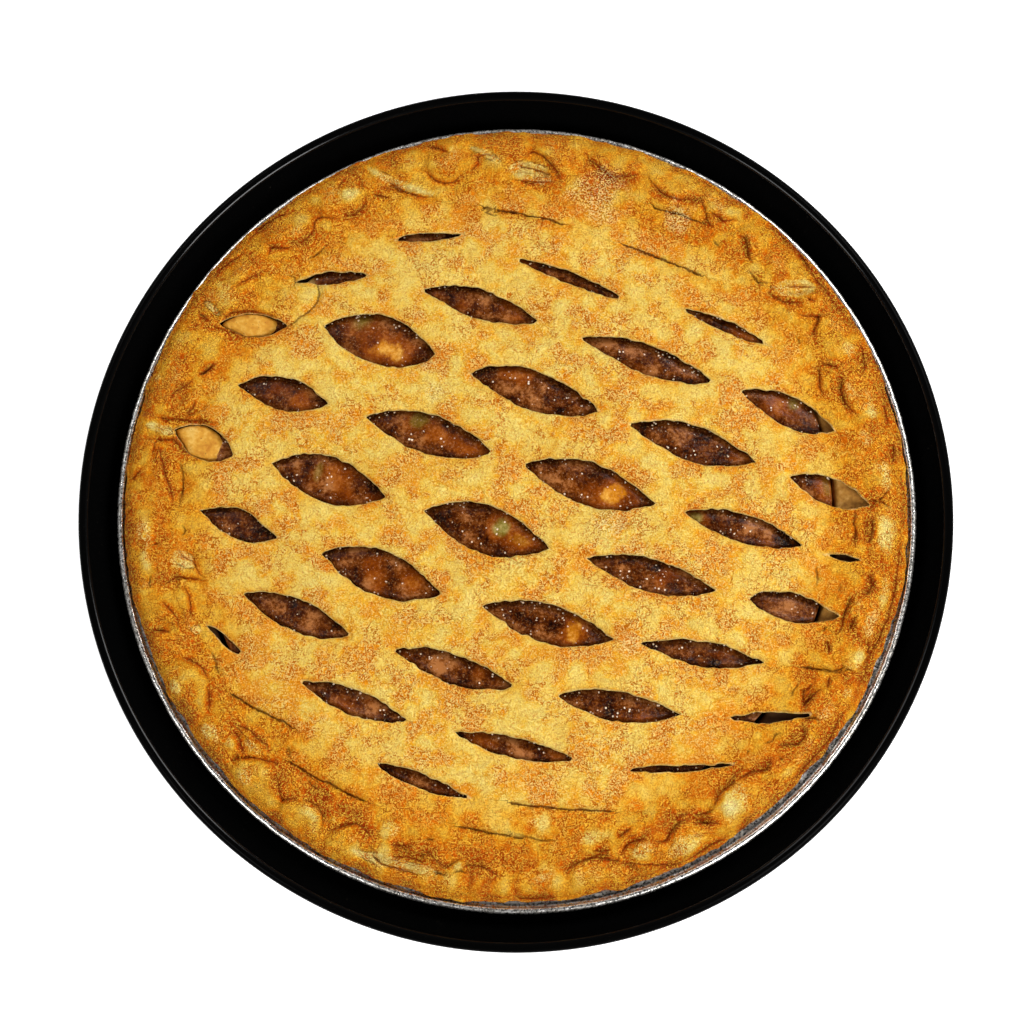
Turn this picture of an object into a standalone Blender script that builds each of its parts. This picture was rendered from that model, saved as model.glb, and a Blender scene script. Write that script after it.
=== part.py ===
"""A lattice apple pie in its foil tin, standing in a round glossy pie dish.

Metres, +Z up. The origin is at the middle of the dish, on the surface that it
stands on. Five sub-parts: the dish, the foil tin, the pastry case that lines
the tin, the apple filling, and the crimped lattice crust that closes the pie.
"""
import math

import bmesh
import bpy

MM = 0.001
GAP = 0.3 * MM                  # clearance between pieces that touch

# Dish: a turned bowl with a foot ring and a rounded lip
DISH_RADIUS = 134.0 * MM
DISH_HEIGHT = 38.0 * MM
DISH_LIP = 3.4 * MM             # width of the rounded lip
DISH_WALL = 3.2 * MM
DISH_FLOOR = 6.0 * MM           # height of the floor's upper face
DISH_FLOOR_RADIUS = 97.0 * MM
DISH_CORNER = 7.0 * MM          # how far the floor's corner is rounded
FOOT_RADIUS = 90.0 * MM
FOOT_WIDTH = 6.0 * MM
FOOT_HEIGHT = 2.4 * MM
DISH_STEPS = 56

# Foil tin: the usual nine-inch pan, with a flange and a rolled bead
TIN_BASE_RADIUS = 90.5 * MM
TIN_MOUTH_RADIUS = 111.0 * MM
TIN_DEPTH = 30.0 * MM
TIN_SHEET = 0.6 * MM
BEAD_RING = 120.7 * MM          # radius of the bead's centre line
BEAD_RADIUS = 1.3 * MM
TIN_STEPS = 48

# Pastry case: lines the tin, and its top edge is turned over the flange
CASE_WALL = 5.0 * MM
CASE_LIP_INNER = 97.0 * MM
CASE_LIP_OUTER = 114.5 * MM
CASE_LIP_THICK = 2.6 * MM
CASE_STEPS = 48

# Crust: a domed sheet with a crimped rim
CRUST_RADIUS = 119.6 * MM
CRUST_OFFSET = (-1.0 * MM, 0.4 * MM)
CRUST_THICK = 3.0 * MM
CRUST_RIM_TOP = 43.2 * MM       # height of the sheet where the dome ends
CRUST_EDGE_TOP = 38.4 * MM
DOME_RADIUS = 100.0 * MM
DOME_HEIGHT = 9.3 * MM
DOME_POWER = 2.4
RIDGE_HEIGHT = 1.0 * MM         # roll of dough between the dome and the crimp
SCALLOPS = 38
SCALLOP_HEIGHT = 1.1 * MM
SCALLOP_REACH = 0.7 * MM        # how far a scallop swells out at the edge
SCALLOP_START = 104.0 * MM
SCALLOP_FULL = 112.0 * MM
EDGE_WAVES = ((3, 0.8 * MM, 1.0), (7, 0.5 * MM, 2.2))   # count, height, phase
RIM_STEPS = 4 * SCALLOPS
DOME_STEPS = SCALLOPS
HUB_STEPS = 16

# Filling
FILLING_STEPS = 36

# Lattice: staggered rows of cuts, pulled open across the rows
LATTICE_TURN = math.radians(-17.6)
LATTICE_REACH = 120.0 * MM
LATTICE_SHIFT = (-5.8 * MM, 9.2 * MM)
COLUMN_PITCH = 51.6 * MM
COLUMN_CLOSING = 0.125          # columns stand closer towards the rim
ROW_PITCH = 22.9 * MM
ROW_CLOSING = (0.0095, 0.007)   # rows stand closer towards the front, and towards the rim
ROW_BEND = 0.264
ROW_SWEEP = 10.7 * MM           # rows swing up on the right
CUT_LENGTH = 41.0 * MM
CUT_LENGTH_REACH = 115.0 * MM   # cuts shorten to nothing at this radius
CUT_LENGTH_LEAN = 0.15
CUT_SKEW = 0.2                  # each lip's widest place is pushed this far off the middle
CUT_SIDES = 4                   # straight pieces in each lip of a cut
GROOVE_WIDTH = 1.3 * MM         # a cut that has closed again in baking
GROOVE_DEPTH = 1.3 * MM
CUT_TOP = 70.0 * MM

# Row, its first column, how far the row has slipped along, and how wide
# each of its cuts has opened, in millimetres (0 is a cut that has closed)
CUT_ROWS = (
    (-6, 1.0, 2, (0,)),
    (-5, -0.5, 2, (0, 0)),
    (-4, -1.0, 0.5, (3, 4, 4)),
    (-3, -1.5, 3.5, (5, 9, 9.5, 8.5)),
    (-2, -2.0, 0.5, (5, 15, 12.5, 12.5, 8)),
    (-1, -1.5, 0, (10, 12.5, 14, 10, 3)),
    (0, -2.0, 0, (5, 14, 15, 11, 8.5)),
    (1, -1.5, -0.5, (9, 14, 12, 8, 0)),
    (2, -1.0, 3, (9.5, 9, 9.5, 4)),
    (3, -1.5, 3.5, (3, 8, 6, 3)),
    (4, -1.0, 0.5, (0, 5, 0)),
    (5, -0.5, 1, (0, 0)),
)

COLOURS = {
    "glazed_black": ((0.006, 0.006, 0.007), 0.12, 0.0),
    "foil": ((0.72, 0.70, 0.67), 0.30, 1.0),
    "pale_pastry": ((0.62, 0.42, 0.18), 0.75, 0.0),
    "apple_syrup": ((0.09, 0.022, 0.006), 0.20, 0.0),
    "baked_crust": ((0.62, 0.33, 0.07), 0.70, 0.0),
}


def clear_scene():
    for item in list(bpy.data.objects):
        bpy.data.objects.remove(item, do_unlink=True)


def new_collection(name):
    collection = bpy.data.collections.new(name)
    bpy.context.scene.collection.children.link(collection)
    return collection


def new_material(name):
    colour, roughness, metallic = COLOURS[name]
    material = bpy.data.materials.new(name)
    material.use_nodes = True
    shader = material.node_tree.nodes["Principled BSDF"]
    shader.inputs["Base Color"].default_value = (*colour, 1.0)
    shader.inputs["Roughness"].default_value = roughness
    shader.inputs["Metallic"].default_value = metallic
    return material


def place(name, mesh, material, collection):
    """Makes an object of a mesh, with its material, in its collection."""
    item = bpy.data.objects.new(name, mesh)
    mesh.materials.append(material)
    collection.objects.link(item)
    return item


def arc(centre, radius, start, end, steps):
    """Points on an arc, from one angle to another, in degrees from +X."""
    points = []
    for step in range(steps + 1):
        angle = math.radians(start + (end - start) * step / steps)
        points.append((centre[0] + radius * math.cos(angle), centre[1] + radius * math.sin(angle)))
    return points


def turned(name, profile, steps, material, collection):
    """Turns a profile, listed from the axis over the top and down the outer side."""
    mesh = bpy.data.meshes.new(name)
    vertices = [(radius, 0.0, height) for radius, height in profile]
    edges = [(index, index + 1) for index in range(len(profile) - 1)]
    mesh.from_pydata(vertices, edges, [])
    item = place(name, mesh, material, collection)
    screw = item.modifiers.new("Turn", "SCREW")
    screw.axis = "Z"
    screw.angle = 2 * math.pi
    screw.steps = steps
    screw.render_steps = steps
    screw.use_merge_vertices = True
    screw.merge_threshold = 0.01 * MM
    screw.use_smooth_shade = True
    return item


def make_dish(collection):
    """The dish: floor, rounded corner, sloping wall, rounded lip and foot ring."""
    lip_radius = DISH_LIP / 2
    lip_centre = (DISH_RADIUS - lip_radius, DISH_HEIGHT - lip_radius)
    corner_rise = 0.3 * DISH_CORNER
    outer_floor = DISH_FLOOR_RADIUS + 0.5 * DISH_WALL
    profile = [
        (0.0, DISH_FLOOR),
        (DISH_FLOOR_RADIUS - DISH_CORNER, DISH_FLOOR),
        (DISH_FLOOR_RADIUS, DISH_FLOOR + corner_rise),
        *arc(lip_centre, lip_radius, 180, -30, 5),
        (outer_floor, FOOT_HEIGHT),
        (FOOT_RADIUS, FOOT_HEIGHT),
        (FOOT_RADIUS, 0.0),
        (FOOT_RADIUS - FOOT_WIDTH, 0.0),
        (FOOT_RADIUS - FOOT_WIDTH, FOOT_HEIGHT),
        (0.0, FOOT_HEIGHT),
    ]
    return turned("pie_dish", profile, DISH_STEPS, new_material("glazed_black"), collection)


TIN_BOTTOM = DISH_FLOOR + GAP
TIN_TOP = TIN_BOTTOM + TIN_DEPTH
TIN_SLOPE = (TIN_MOUTH_RADIUS - TIN_BASE_RADIUS) / TIN_DEPTH


def make_tin(collection):
    """The tin: a flat base, a sloping wall, a flange and a rolled bead round its edge."""
    inner_base = TIN_BASE_RADIUS - TIN_SHEET
    inner_mouth = TIN_MOUTH_RADIUS - TIN_SHEET
    profile = [
        (0.0, TIN_BOTTOM + TIN_SHEET),
        (inner_base, TIN_BOTTOM + TIN_SHEET),
        (inner_mouth, TIN_TOP),
        *arc((BEAD_RING, TIN_TOP - BEAD_RADIUS), BEAD_RADIUS, 90, -210, 5),
        (TIN_MOUTH_RADIUS, TIN_TOP - TIN_SHEET),
        (TIN_BASE_RADIUS, TIN_BOTTOM),
        (0.0, TIN_BOTTOM),
    ]
    return turned("foil_tin", profile, TIN_STEPS, new_material("foil"), collection)


CASE_BOTTOM = TIN_BOTTOM + TIN_SHEET + GAP
CASE_FLOOR = CASE_BOTTOM + CASE_WALL
CASE_LIP_BOTTOM = TIN_TOP + GAP
CASE_TOP = CASE_LIP_BOTTOM + CASE_LIP_THICK


def case_outer(height):
    """Radius of the case's outer face at a height: the tin's inner face, less the gap."""
    return TIN_BASE_RADIUS - TIN_SHEET - 2 * GAP + (height - TIN_BOTTOM) * TIN_SLOPE


def case_inner(height):
    return case_outer(height) - CASE_WALL


def make_case(collection):
    """The pastry case: floor, sloping wall, and a lip turned in and out over the flange."""
    lip_root = CASE_LIP_BOTTOM - CASE_LIP_THICK
    profile = [
        (0.0, CASE_FLOOR),
        (case_inner(CASE_FLOOR), CASE_FLOOR),
        (case_inner(lip_root - CASE_WALL), lip_root - CASE_WALL),
        (CASE_LIP_INNER, lip_root),
        (CASE_LIP_INNER, CASE_TOP),
        (CASE_LIP_OUTER, CASE_TOP),
        (CASE_LIP_OUTER, CASE_LIP_BOTTOM),
        (case_outer(CASE_LIP_BOTTOM), CASE_LIP_BOTTOM),
        (case_outer(CASE_BOTTOM), CASE_BOTTOM),
        (0.0, CASE_BOTTOM),
    ]
    return turned("pastry_case", profile, CASE_STEPS, new_material("pale_pastry"), collection)


CRUST_REST = CASE_TOP + GAP


def crust_top(radius):
    """Height of the crust: a dome, then a low ridge, then a fall to the edge."""
    if radius <= DOME_RADIUS:
        return CRUST_RIM_TOP + DOME_HEIGHT * (1 - (radius / DOME_RADIUS) ** DOME_POWER)
    part = (radius - DOME_RADIUS) / (CRUST_RADIUS - DOME_RADIUS)
    fall = (CRUST_RIM_TOP - CRUST_EDGE_TOP) * part ** 2.5
    return CRUST_RIM_TOP - fall + RIDGE_HEIGHT * math.sin(math.pi * part)


def crust_under(radius):
    return crust_top(radius) - CRUST_THICK


def make_filling(collection):
    """The filling: solid from the case's floor up to the underside of the dome."""
    top_radius = CASE_LIP_INNER - GAP
    lip_root = CASE_LIP_BOTTOM - CASE_LIP_THICK
    bend = lip_root - CASE_WALL
    dome = [DOME_RADIUS * part for part in (0.0, 0.3, 0.55, 0.77, 0.91)]
    profile = [(radius, crust_under(radius) - 2 * GAP) for radius in dome]
    profile += [
        (top_radius, CASE_TOP - GAP),
        (top_radius, lip_root - GAP),
        (case_inner(bend) - 2 * GAP, bend),
        (case_inner(CASE_FLOOR) - 2 * GAP, CASE_FLOOR + GAP),
        (0.0, CASE_FLOOR + GAP),
    ]
    return turned("apple_filling", profile, FILLING_STEPS, new_material("apple_syrup"), collection)


def smooth(value, low, high):
    """Rises smoothly from 0 at low to 1 at high."""
    part = min(max((value - low) / (high - low), 0.0), 1.0)
    return part * part * (3 - 2 * part)


def shape_crust_point(point):
    """Raises the scallops of the crimp, swells the edge and moves the sheet off centre."""
    radius = math.hypot(point.x, point.y)
    if point.z < CRUST_REST + GAP and radius < CASE_LIP_OUTER + 4 * GAP:
        return
    angle = math.atan2(point.y, point.x)
    scallop = math.cos(SCALLOPS * angle) * smooth(radius, SCALLOP_START, SCALLOP_FULL)
    if point.z > CRUST_REST + GAP:
        point.z += SCALLOP_HEIGHT * scallop
    swell = SCALLOP_REACH * scallop * smooth(radius, SCALLOP_FULL, CRUST_RADIUS)
    for count, height, phase in EDGE_WAVES:
        swell += height * math.sin(count * angle + phase) * smooth(radius, DOME_RADIUS, CRUST_RADIUS)
    point.x += CRUST_OFFSET[0] + swell * math.cos(angle)
    point.y += CRUST_OFFSET[1] + swell * math.sin(angle)


def stitched(first, second):
    """Triangles between two rings that may have unlike numbers of points."""
    faces = []
    here, there = 0, 0
    while here < len(first) or there < len(second):
        if (here + 1) * len(second) <= (there + 1) * len(first):
            faces.append((first[here], first[(here + 1) % len(first)], second[there % len(second)]))
            here += 1
        else:
            faces.append((first[here % len(first)], second[(there + 1) % len(second)], second[there]))
            there += 1
    return faces


def lofted(name, rings):
    """Lofts a closed skin through level rings, each a radius, a height and a number of points."""
    vertices = []
    loops = []
    for radius, height, count in rings:
        loops.append(range(len(vertices), len(vertices) + count))
        for step in range(count):
            angle = 2 * math.pi * step / count
            vertices.append((radius * math.cos(angle), radius * math.sin(angle), height))
    faces = [loops[0], loops[-1][::-1]]
    for inner, outer in zip(loops, loops[1:]):
        faces += stitched(outer, inner)
    mesh = bpy.data.meshes.new(name)
    mesh.from_pydata(vertices, [], faces)
    return mesh


def row_line(row, along):
    """Where a row of cuts runs: its place across the rows, at a place along them."""
    part = along / LATTICE_REACH
    straight = ROW_PITCH * row * (1 - ROW_CLOSING[0] * row - ROW_CLOSING[1] * row * row)
    return straight * (1 - ROW_BEND * part * part) - ROW_SWEEP * max(part, 0.0) ** 2


def column_place(column, slip):
    """How far along its row a cut's middle lies."""
    part = column * COLUMN_PITCH / LATTICE_REACH
    return COLUMN_PITCH * column * (1 - COLUMN_CLOSING * part * part) + slip


def lattice_to_plan(along, across):
    """Turns a place in the lattice into x and y on the pie."""
    along += LATTICE_SHIFT[0]
    across += LATTICE_SHIFT[1]
    cosine, sine = math.cos(LATTICE_TURN), math.sin(LATTICE_TURN)
    return along * cosine + across * sine, along * sine - across * cosine


def cut_outline(row, middle, width):
    """The outline of one cut: a leaning lens along its row, whose lips are two parabolas."""
    x, y = lattice_to_plan(middle, row_line(row, middle))
    reach = (math.hypot(x, y) / CUT_LENGTH_REACH) ** 4
    length = CUT_LENGTH * (1 - min(reach, 0.9)) * (1 + CUT_LENGTH_LEAN * x / LATTICE_REACH)
    outline = []
    for side in (1, -1):
        for step in range(CUT_SIDES):
            part = side * (1 - 2 * step / CUT_SIDES)
            bulge = 1 - (part - side * CUT_SKEW * (1 - part * part)) ** 2
            along = middle + part * length / 2
            across = row_line(row, along) + side * width / 2 * bulge
            outline.append(lattice_to_plan(along, across))
    return outline, crust_top(min(math.hypot(x, y), CRUST_RADIUS))


def make_cutters(collection):
    """One upright prism for each cut, through the sheet, or just into it where it closed."""
    cutters = bmesh.new()
    for row, first_column, slip, widths in CUT_ROWS:
        for index, opened in enumerate(widths):
            width = opened * MM if opened else GROOVE_WIDTH
            middle = column_place(first_column + index, slip * MM)
            outline, top = cut_outline(row, middle, width)
            bottom = CASE_TOP if opened else top - GROOVE_DEPTH
            lower = [cutters.verts.new((x, y, bottom)) for x, y in outline]
            face = cutters.faces.new(lower)
            raised = bmesh.ops.extrude_face_region(cutters, geom=[face])
            upper = [item for item in raised["geom"] if isinstance(item, bmesh.types.BMVert)]
            bmesh.ops.translate(cutters, verts=upper, vec=(0, 0, CUT_TOP - bottom))
    bmesh.ops.recalc_face_normals(cutters, faces=cutters.faces)
    mesh = bpy.data.meshes.new("lattice_cuts")
    cutters.to_mesh(mesh)
    cutters.free()
    item = bpy.data.objects.new("lattice_cuts", mesh)
    item.hide_render = True
    item.display_type = "WIRE"
    collection.objects.link(item)
    return item


def make_crust(collection, cutters):
    """The crust: a domed sheet with a crimped rim that covers the case's lip, and its cuts."""
    hub = 0.08 * DOME_RADIUS
    dome = [DOME_RADIUS * part for part in (0.35, 0.6, 0.8, 0.92)]
    rim = [DOME_RADIUS + part * (CRUST_RADIUS - DOME_RADIUS) for part in (0, 0.25, 0.5, 0.72, 0.9)]
    under = [CASE_LIP_INNER * part for part in (0.985, 0.85, 0.6, 0.35)]
    skirt = CASE_LIP_OUTER + 3 * GAP
    foot = TIN_TOP + GAP
    rings = [(hub, crust_top(hub), HUB_STEPS)]
    rings += [(radius, crust_top(radius), DOME_STEPS) for radius in dome]
    rings += [(radius, crust_top(radius), RIM_STEPS) for radius in rim]
    rings += [
        (CRUST_RADIUS, CRUST_EDGE_TOP - 0.3 * MM, RIM_STEPS),
        (CRUST_RADIUS - 0.4 * MM, foot, RIM_STEPS),
        (skirt, foot, DOME_STEPS),
        (skirt, CRUST_REST, DOME_STEPS),
        (CASE_LIP_INNER, CRUST_REST, DOME_STEPS),
    ]
    rings += [(radius, crust_under(radius), DOME_STEPS) for radius in under]
    rings += [(hub, crust_under(hub), HUB_STEPS)]
    mesh = lofted("lattice_crust", rings)
    for vertex in mesh.vertices:
        shape_crust_point(vertex.co)
    item = place("lattice_crust", mesh, new_material("baked_crust"), collection)
    cut = item.modifiers.new("Lattice", "BOOLEAN")
    cut.operation = "DIFFERENCE"
    cut.solver = "EXACT"
    cut.object = cutters
    mesh.shade_smooth()
    mesh.set_sharp_from_angle(angle=math.radians(40))
    return item


def main():
    clear_scene()
    pie = new_collection("lattice_apple_pie")
    helpers = new_collection("cutters")
    make_dish(pie)
    make_tin(pie)
    make_case(pie)
    make_filling(pie)
    make_crust(pie, make_cutters(helpers))


main()
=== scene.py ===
import math

import bpy
import numpy as np
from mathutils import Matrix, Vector
from mathutils.geometry import delaunay_2d_cdt


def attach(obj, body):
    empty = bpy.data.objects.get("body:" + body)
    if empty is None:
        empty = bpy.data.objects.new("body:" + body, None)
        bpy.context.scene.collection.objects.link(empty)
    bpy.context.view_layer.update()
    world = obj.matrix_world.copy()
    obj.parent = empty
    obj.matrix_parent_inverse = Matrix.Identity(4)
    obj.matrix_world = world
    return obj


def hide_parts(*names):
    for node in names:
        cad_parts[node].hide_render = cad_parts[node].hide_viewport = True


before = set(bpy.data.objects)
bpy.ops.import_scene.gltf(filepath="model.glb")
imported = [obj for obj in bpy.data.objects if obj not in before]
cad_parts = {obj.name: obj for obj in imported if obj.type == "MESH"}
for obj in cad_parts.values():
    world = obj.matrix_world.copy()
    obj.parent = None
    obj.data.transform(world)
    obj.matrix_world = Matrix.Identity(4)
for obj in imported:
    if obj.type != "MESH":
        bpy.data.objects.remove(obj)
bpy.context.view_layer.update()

mm = 0.001
quarter = math.pi / 2
whole = 2 * math.pi
# mm, further than any cut or line reaches
farAway = 60.0
# mm, the circle on which patterns that run round the pie are read
readCircle = 118


def smooth(value, low, high):
    # rises from 0 at low to 1 at high by 3t^2 - 2t^3
    part = np.clip((value - low) / (high - low), 0, 1)
    return part * part * (3 - 2 * part)


def bell(value, width):
    # 1 at 0, falling both ways by the square of value over width, as a power of e
    return np.exp(-(value / width) ** 2)


def fade(value, width):
    # 1 at 0 and below, and divided by e for each width above it
    return np.exp(-np.maximum(value, 0) / width)


def scatter(column, row, seed):
    # whole numbers mixed by products and shifts give each cell its own fixed number, 0 to 1
    mixed = column.astype(np.int64) * 73856093 ^ row.astype(np.int64) * 19349663 ^ seed * 83492791
    for factor in (1274126177, 1911520717):
        mixed = ((mixed ^ (mixed >> 13)) * factor) & 0x7fffffff
    return ((mixed ^ (mixed >> 11)) & 0xffffff) / 0xffffff


def swell(x, y, size, seed):
    # four corner values of each cell, blended by a smooth step both ways, from -1 to 1
    column, row = np.floor(x / size), np.floor(y / size)
    a, b = smooth(x / size - column, 0, 1), smooth(y / size - row, 0, 1)
    low = scatter(column, row, seed) * (1 - a) + scatter(column + 1, row, seed) * a
    high = scatter(column, row + 1, seed) * (1 - a) + scatter(column + 1, row + 1, seed) * a
    return 2 * (low * (1 - b) + high * b) - 1


def layered(x, y, size, seed, layers=3, keep=0.5):
    # swells of half the size and a part of the height, each turned 37 degrees from the last
    total, height, reached = 0, 1, 0
    for layer in range(layers):
        total = total + height * swell(x + 17.3 * layer, y - 9.1 * layer, size, seed + layer)
        reached += height
        x, y = 0.8 * x - 0.6 * y, 0.6 * x + 0.8 * y
        size, height = size / 2, height * keep
    return total / reached


def cracks(x, y, size, seed):
    # distance to the border between the two nearest of a field of scattered points, in cells
    column, row = np.floor(x / size), np.floor(y / size)
    first = np.full(x.shape, 9.0)
    second = first.copy()
    for i in (-1, 0, 1):
        for j in (-1, 0, 1):
            across = (column + i + scatter(column + i, row + j, seed)) * size - x
            up = (row + j + scatter(column + i, row + j, seed + 1)) * size - y
            far = np.hypot(across, up) / size
            second = np.minimum(second, np.maximum(far, first))
            first = np.minimum(first, far)
    return second - first


class Wire:
    # one output of a node; sums and products with it add Math nodes
    def __init__(self, paint, out):
        self.paint, self.out = paint, out

    def math(self, work, first, second=0.0):
        return self.paint.add("ShaderNodeMath", {"operation": work}, {0: first, 1: second})

    def __add__(self, other):
        return self.math("ADD", self, other)

    def __sub__(self, other):
        return self.math("SUBTRACT", self, other)

    def __rsub__(self, other):
        return self.math("SUBTRACT", other, self)

    def __mul__(self, other):
        return self.math("MULTIPLY", self, other)

    def __abs__(self):
        return self.math("ABSOLUTE", self)

    __radd__ = __add__
    __rmul__ = __mul__


class Paint:
    # a material under construction: add() makes any node, the rest are its commonest uses
    def __init__(self, name):
        self.material = bpy.data.materials.new(name)
        self.material.use_nodes = True
        self.tree = self.material.node_tree
        self.tree.nodes.clear()
        self.place = self.add("ShaderNodeTexCoord", output="Object")

    def add(self, kind, settings={}, values={}, output=0):
        node = self.tree.nodes.new(kind)
        for name, value in settings.items():
            if name == "stops":
                stops = node.color_ramp.elements
                while len(stops) < len(value):
                    stops.new(0.5)
                for stop, (position, colour) in zip(stops, value):
                    stop.position, stop.color = position, colour
            else:
                setattr(node, name, value)
        for name, value in values.items():
            if isinstance(value, Wire):
                self.tree.links.new(value.out, node.inputs[name])
            else:
                node.inputs[name].default_value = value
        return None if output is None else Wire(self, node.outputs[output])

    def mark(self, name):
        return self.add("ShaderNodeAttribute", {"attribute_name": name}, output="Fac")

    def noise(self, size, detail=2.0, rough=0.5, bend=0.0, seed=0.0):
        # size is the width of one swell in mm
        return self.add("ShaderNodeTexNoise", {}, {
            "Vector": self.moved(seed), "Scale": 1 / (size * mm), "Detail": detail,
            "Roughness": rough, "Distortion": bend})

    def cells(self, size, seed=0.0):
        return self.add("ShaderNodeTexVoronoi", {"feature": "F1"}, {
            "Vector": self.moved(seed), "Scale": 1 / (size * mm)})

    def moved(self, seed):
        # another seed is another part of the same endless pattern
        if seed == 0:
            return self.place
        return self.add("ShaderNodeVectorMath", {"operation": "ADD"},
                        {0: self.place, 1: (seed, seed / 3, -seed)})

    def rise(self, value, low, high, start=0.0, end=1.0):
        return self.add("ShaderNodeMapRange", {"interpolation_type": "SMOOTHSTEP"}, {
            "Value": value, "From Min": low, "From Max": high, "To Min": start, "To Max": end})

    def clamped(self, value):
        return self.add("ShaderNodeClamp", {}, {"Value": value})

    def ramp(self, value, stops):
        return self.add("ShaderNodeValToRGB", {"stops": [(at, rgb(*tint)) for at, tint in stops]}, {0: value})

    def mix(self, share, first, second):
        # inputs 6 and 7 and output 2 are the node's colours
        return self.add("ShaderNodeMix", {"data_type": "RGBA"}, {0: share, 6: first, 7: second}, output=2)

    def over(self, colour, layers):
        # tints laid over a colour one after another, each with its own share
        for share, tint in layers:
            colour = self.mix(share, colour, tint)
        return colour

    def bump(self, height, depth):
        # depth in mm is how far a height of 1 stands out
        return self.add("ShaderNodeBump", {}, {"Strength": 1.0, "Distance": depth * mm, "Height": height})

    def finish(self, colour, rough, values={}, normal=None):
        inputs = {"Base Color": colour, "Roughness": rough, **values}
        if normal:
            inputs["Normal"] = normal
        shader = self.add("ShaderNodeBsdfPrincipled", {}, inputs)
        self.add("ShaderNodeOutputMaterial", {}, {"Surface": shader}, output=None)
        return self.material


def rgb(red, green, blue):
    # screen colours from 0 to 255, made linear by the power 2.2 curve with its straight foot
    parts = [part / 255 for part in (red, green, blue)]
    return (*[part / 12.92 if part < 0.04 else ((part + 0.055) / 1.055) ** 2.4 for part in parts], 1.0)


def makePiece(name, points, faces, material, marks={}, sharp=None):
    # points in mm become a smooth mesh at the origin that rides on the body "root"
    mesh = bpy.data.meshes.new(name)
    mesh.from_pydata((points * mm).tolist(), [], faces)
    mesh.validate()
    for mark, values in marks.items():
        store = mesh.attributes.new(mark, "FLOAT", "POINT").data
        store.foreach_set("value", np.asarray(values, np.float32))
    mesh.shade_smooth()
    if sharp:
        mesh.set_sharp_from_angle(angle=math.radians(sharp))
    mesh.materials.append(material)
    item = bpy.data.objects.new(name, mesh)
    bpy.context.scene.collection.objects.link(item)
    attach(item, "root")
    print(name, sum(len(face) - 2 for face in faces), "triangles")
    return item


def turnedFaces(rings, steps, poles=2):
    # quads between neighbouring rings, and fans to a point at one or both ends of the profile
    index = np.arange(rings * steps).reshape(rings, steps)
    after = np.roll(index, -1, 1)
    faces = np.stack([index[:-1], index[1:], after[1:], after[:-1]], -1).reshape(-1, 4).tolist()
    first, last = rings * steps, rings * steps + 1
    faces += [[first, a, b] for a, b in zip(index[0].tolist(), after[0].tolist())]
    if poles == 2:
        faces += [[last, b, a] for a, b in zip(index[-1].tolist(), after[-1].tolist())]
    return faces


def carried(line, steps):
    # a profile carried round the axis: the turn at each step, and radius and height by point and step
    turn = np.linspace(0, whole, steps, endpoint=False)
    return turn, line[:, :1] + 0 * turn, line[:, 1:] + 0 * turn


def turnedPoints(radius, height, poles):
    # each ring of radii and heights is carried round the axis; the poles are two heights
    turn = np.linspace(0, whole, radius.shape[1], endpoint=False)
    body = np.stack([radius * np.cos(turn), radius * np.sin(turn), height], -1).reshape(-1, 3)
    return np.concatenate([body, [[0, 0, height] for height in poles]])


def roundedLine(corners, steps):
    # a line through (radius, height, rounding) corners; each is cut by a curve of three points
    line = []
    for index, (radius, height, rounding) in enumerate(corners):
        here = np.array([radius, height], float)
        if rounding == 0:
            line.append(here)
            continue
        ends = []
        for other in (corners[index - 1], corners[index + 1]):
            way = np.array(other[:2], float) - here
            ends.append(here + way * min(rounding / np.hypot(*way), 0.5))
        for part in np.linspace(0, 1, steps):
            line.append(ends[0] * (1 - part) ** 2 + 2 * part * (1 - part) * here + ends[1] * part ** 2)
    return np.array(line)


def arcLine(radius, height, size, start, end, steps):
    # an arc about (radius, height), from one angle in degrees to another
    turn = np.radians(np.linspace(start, end, steps))
    return np.stack([radius + size * np.cos(turn), height + size * np.sin(turn)], 1)


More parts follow.
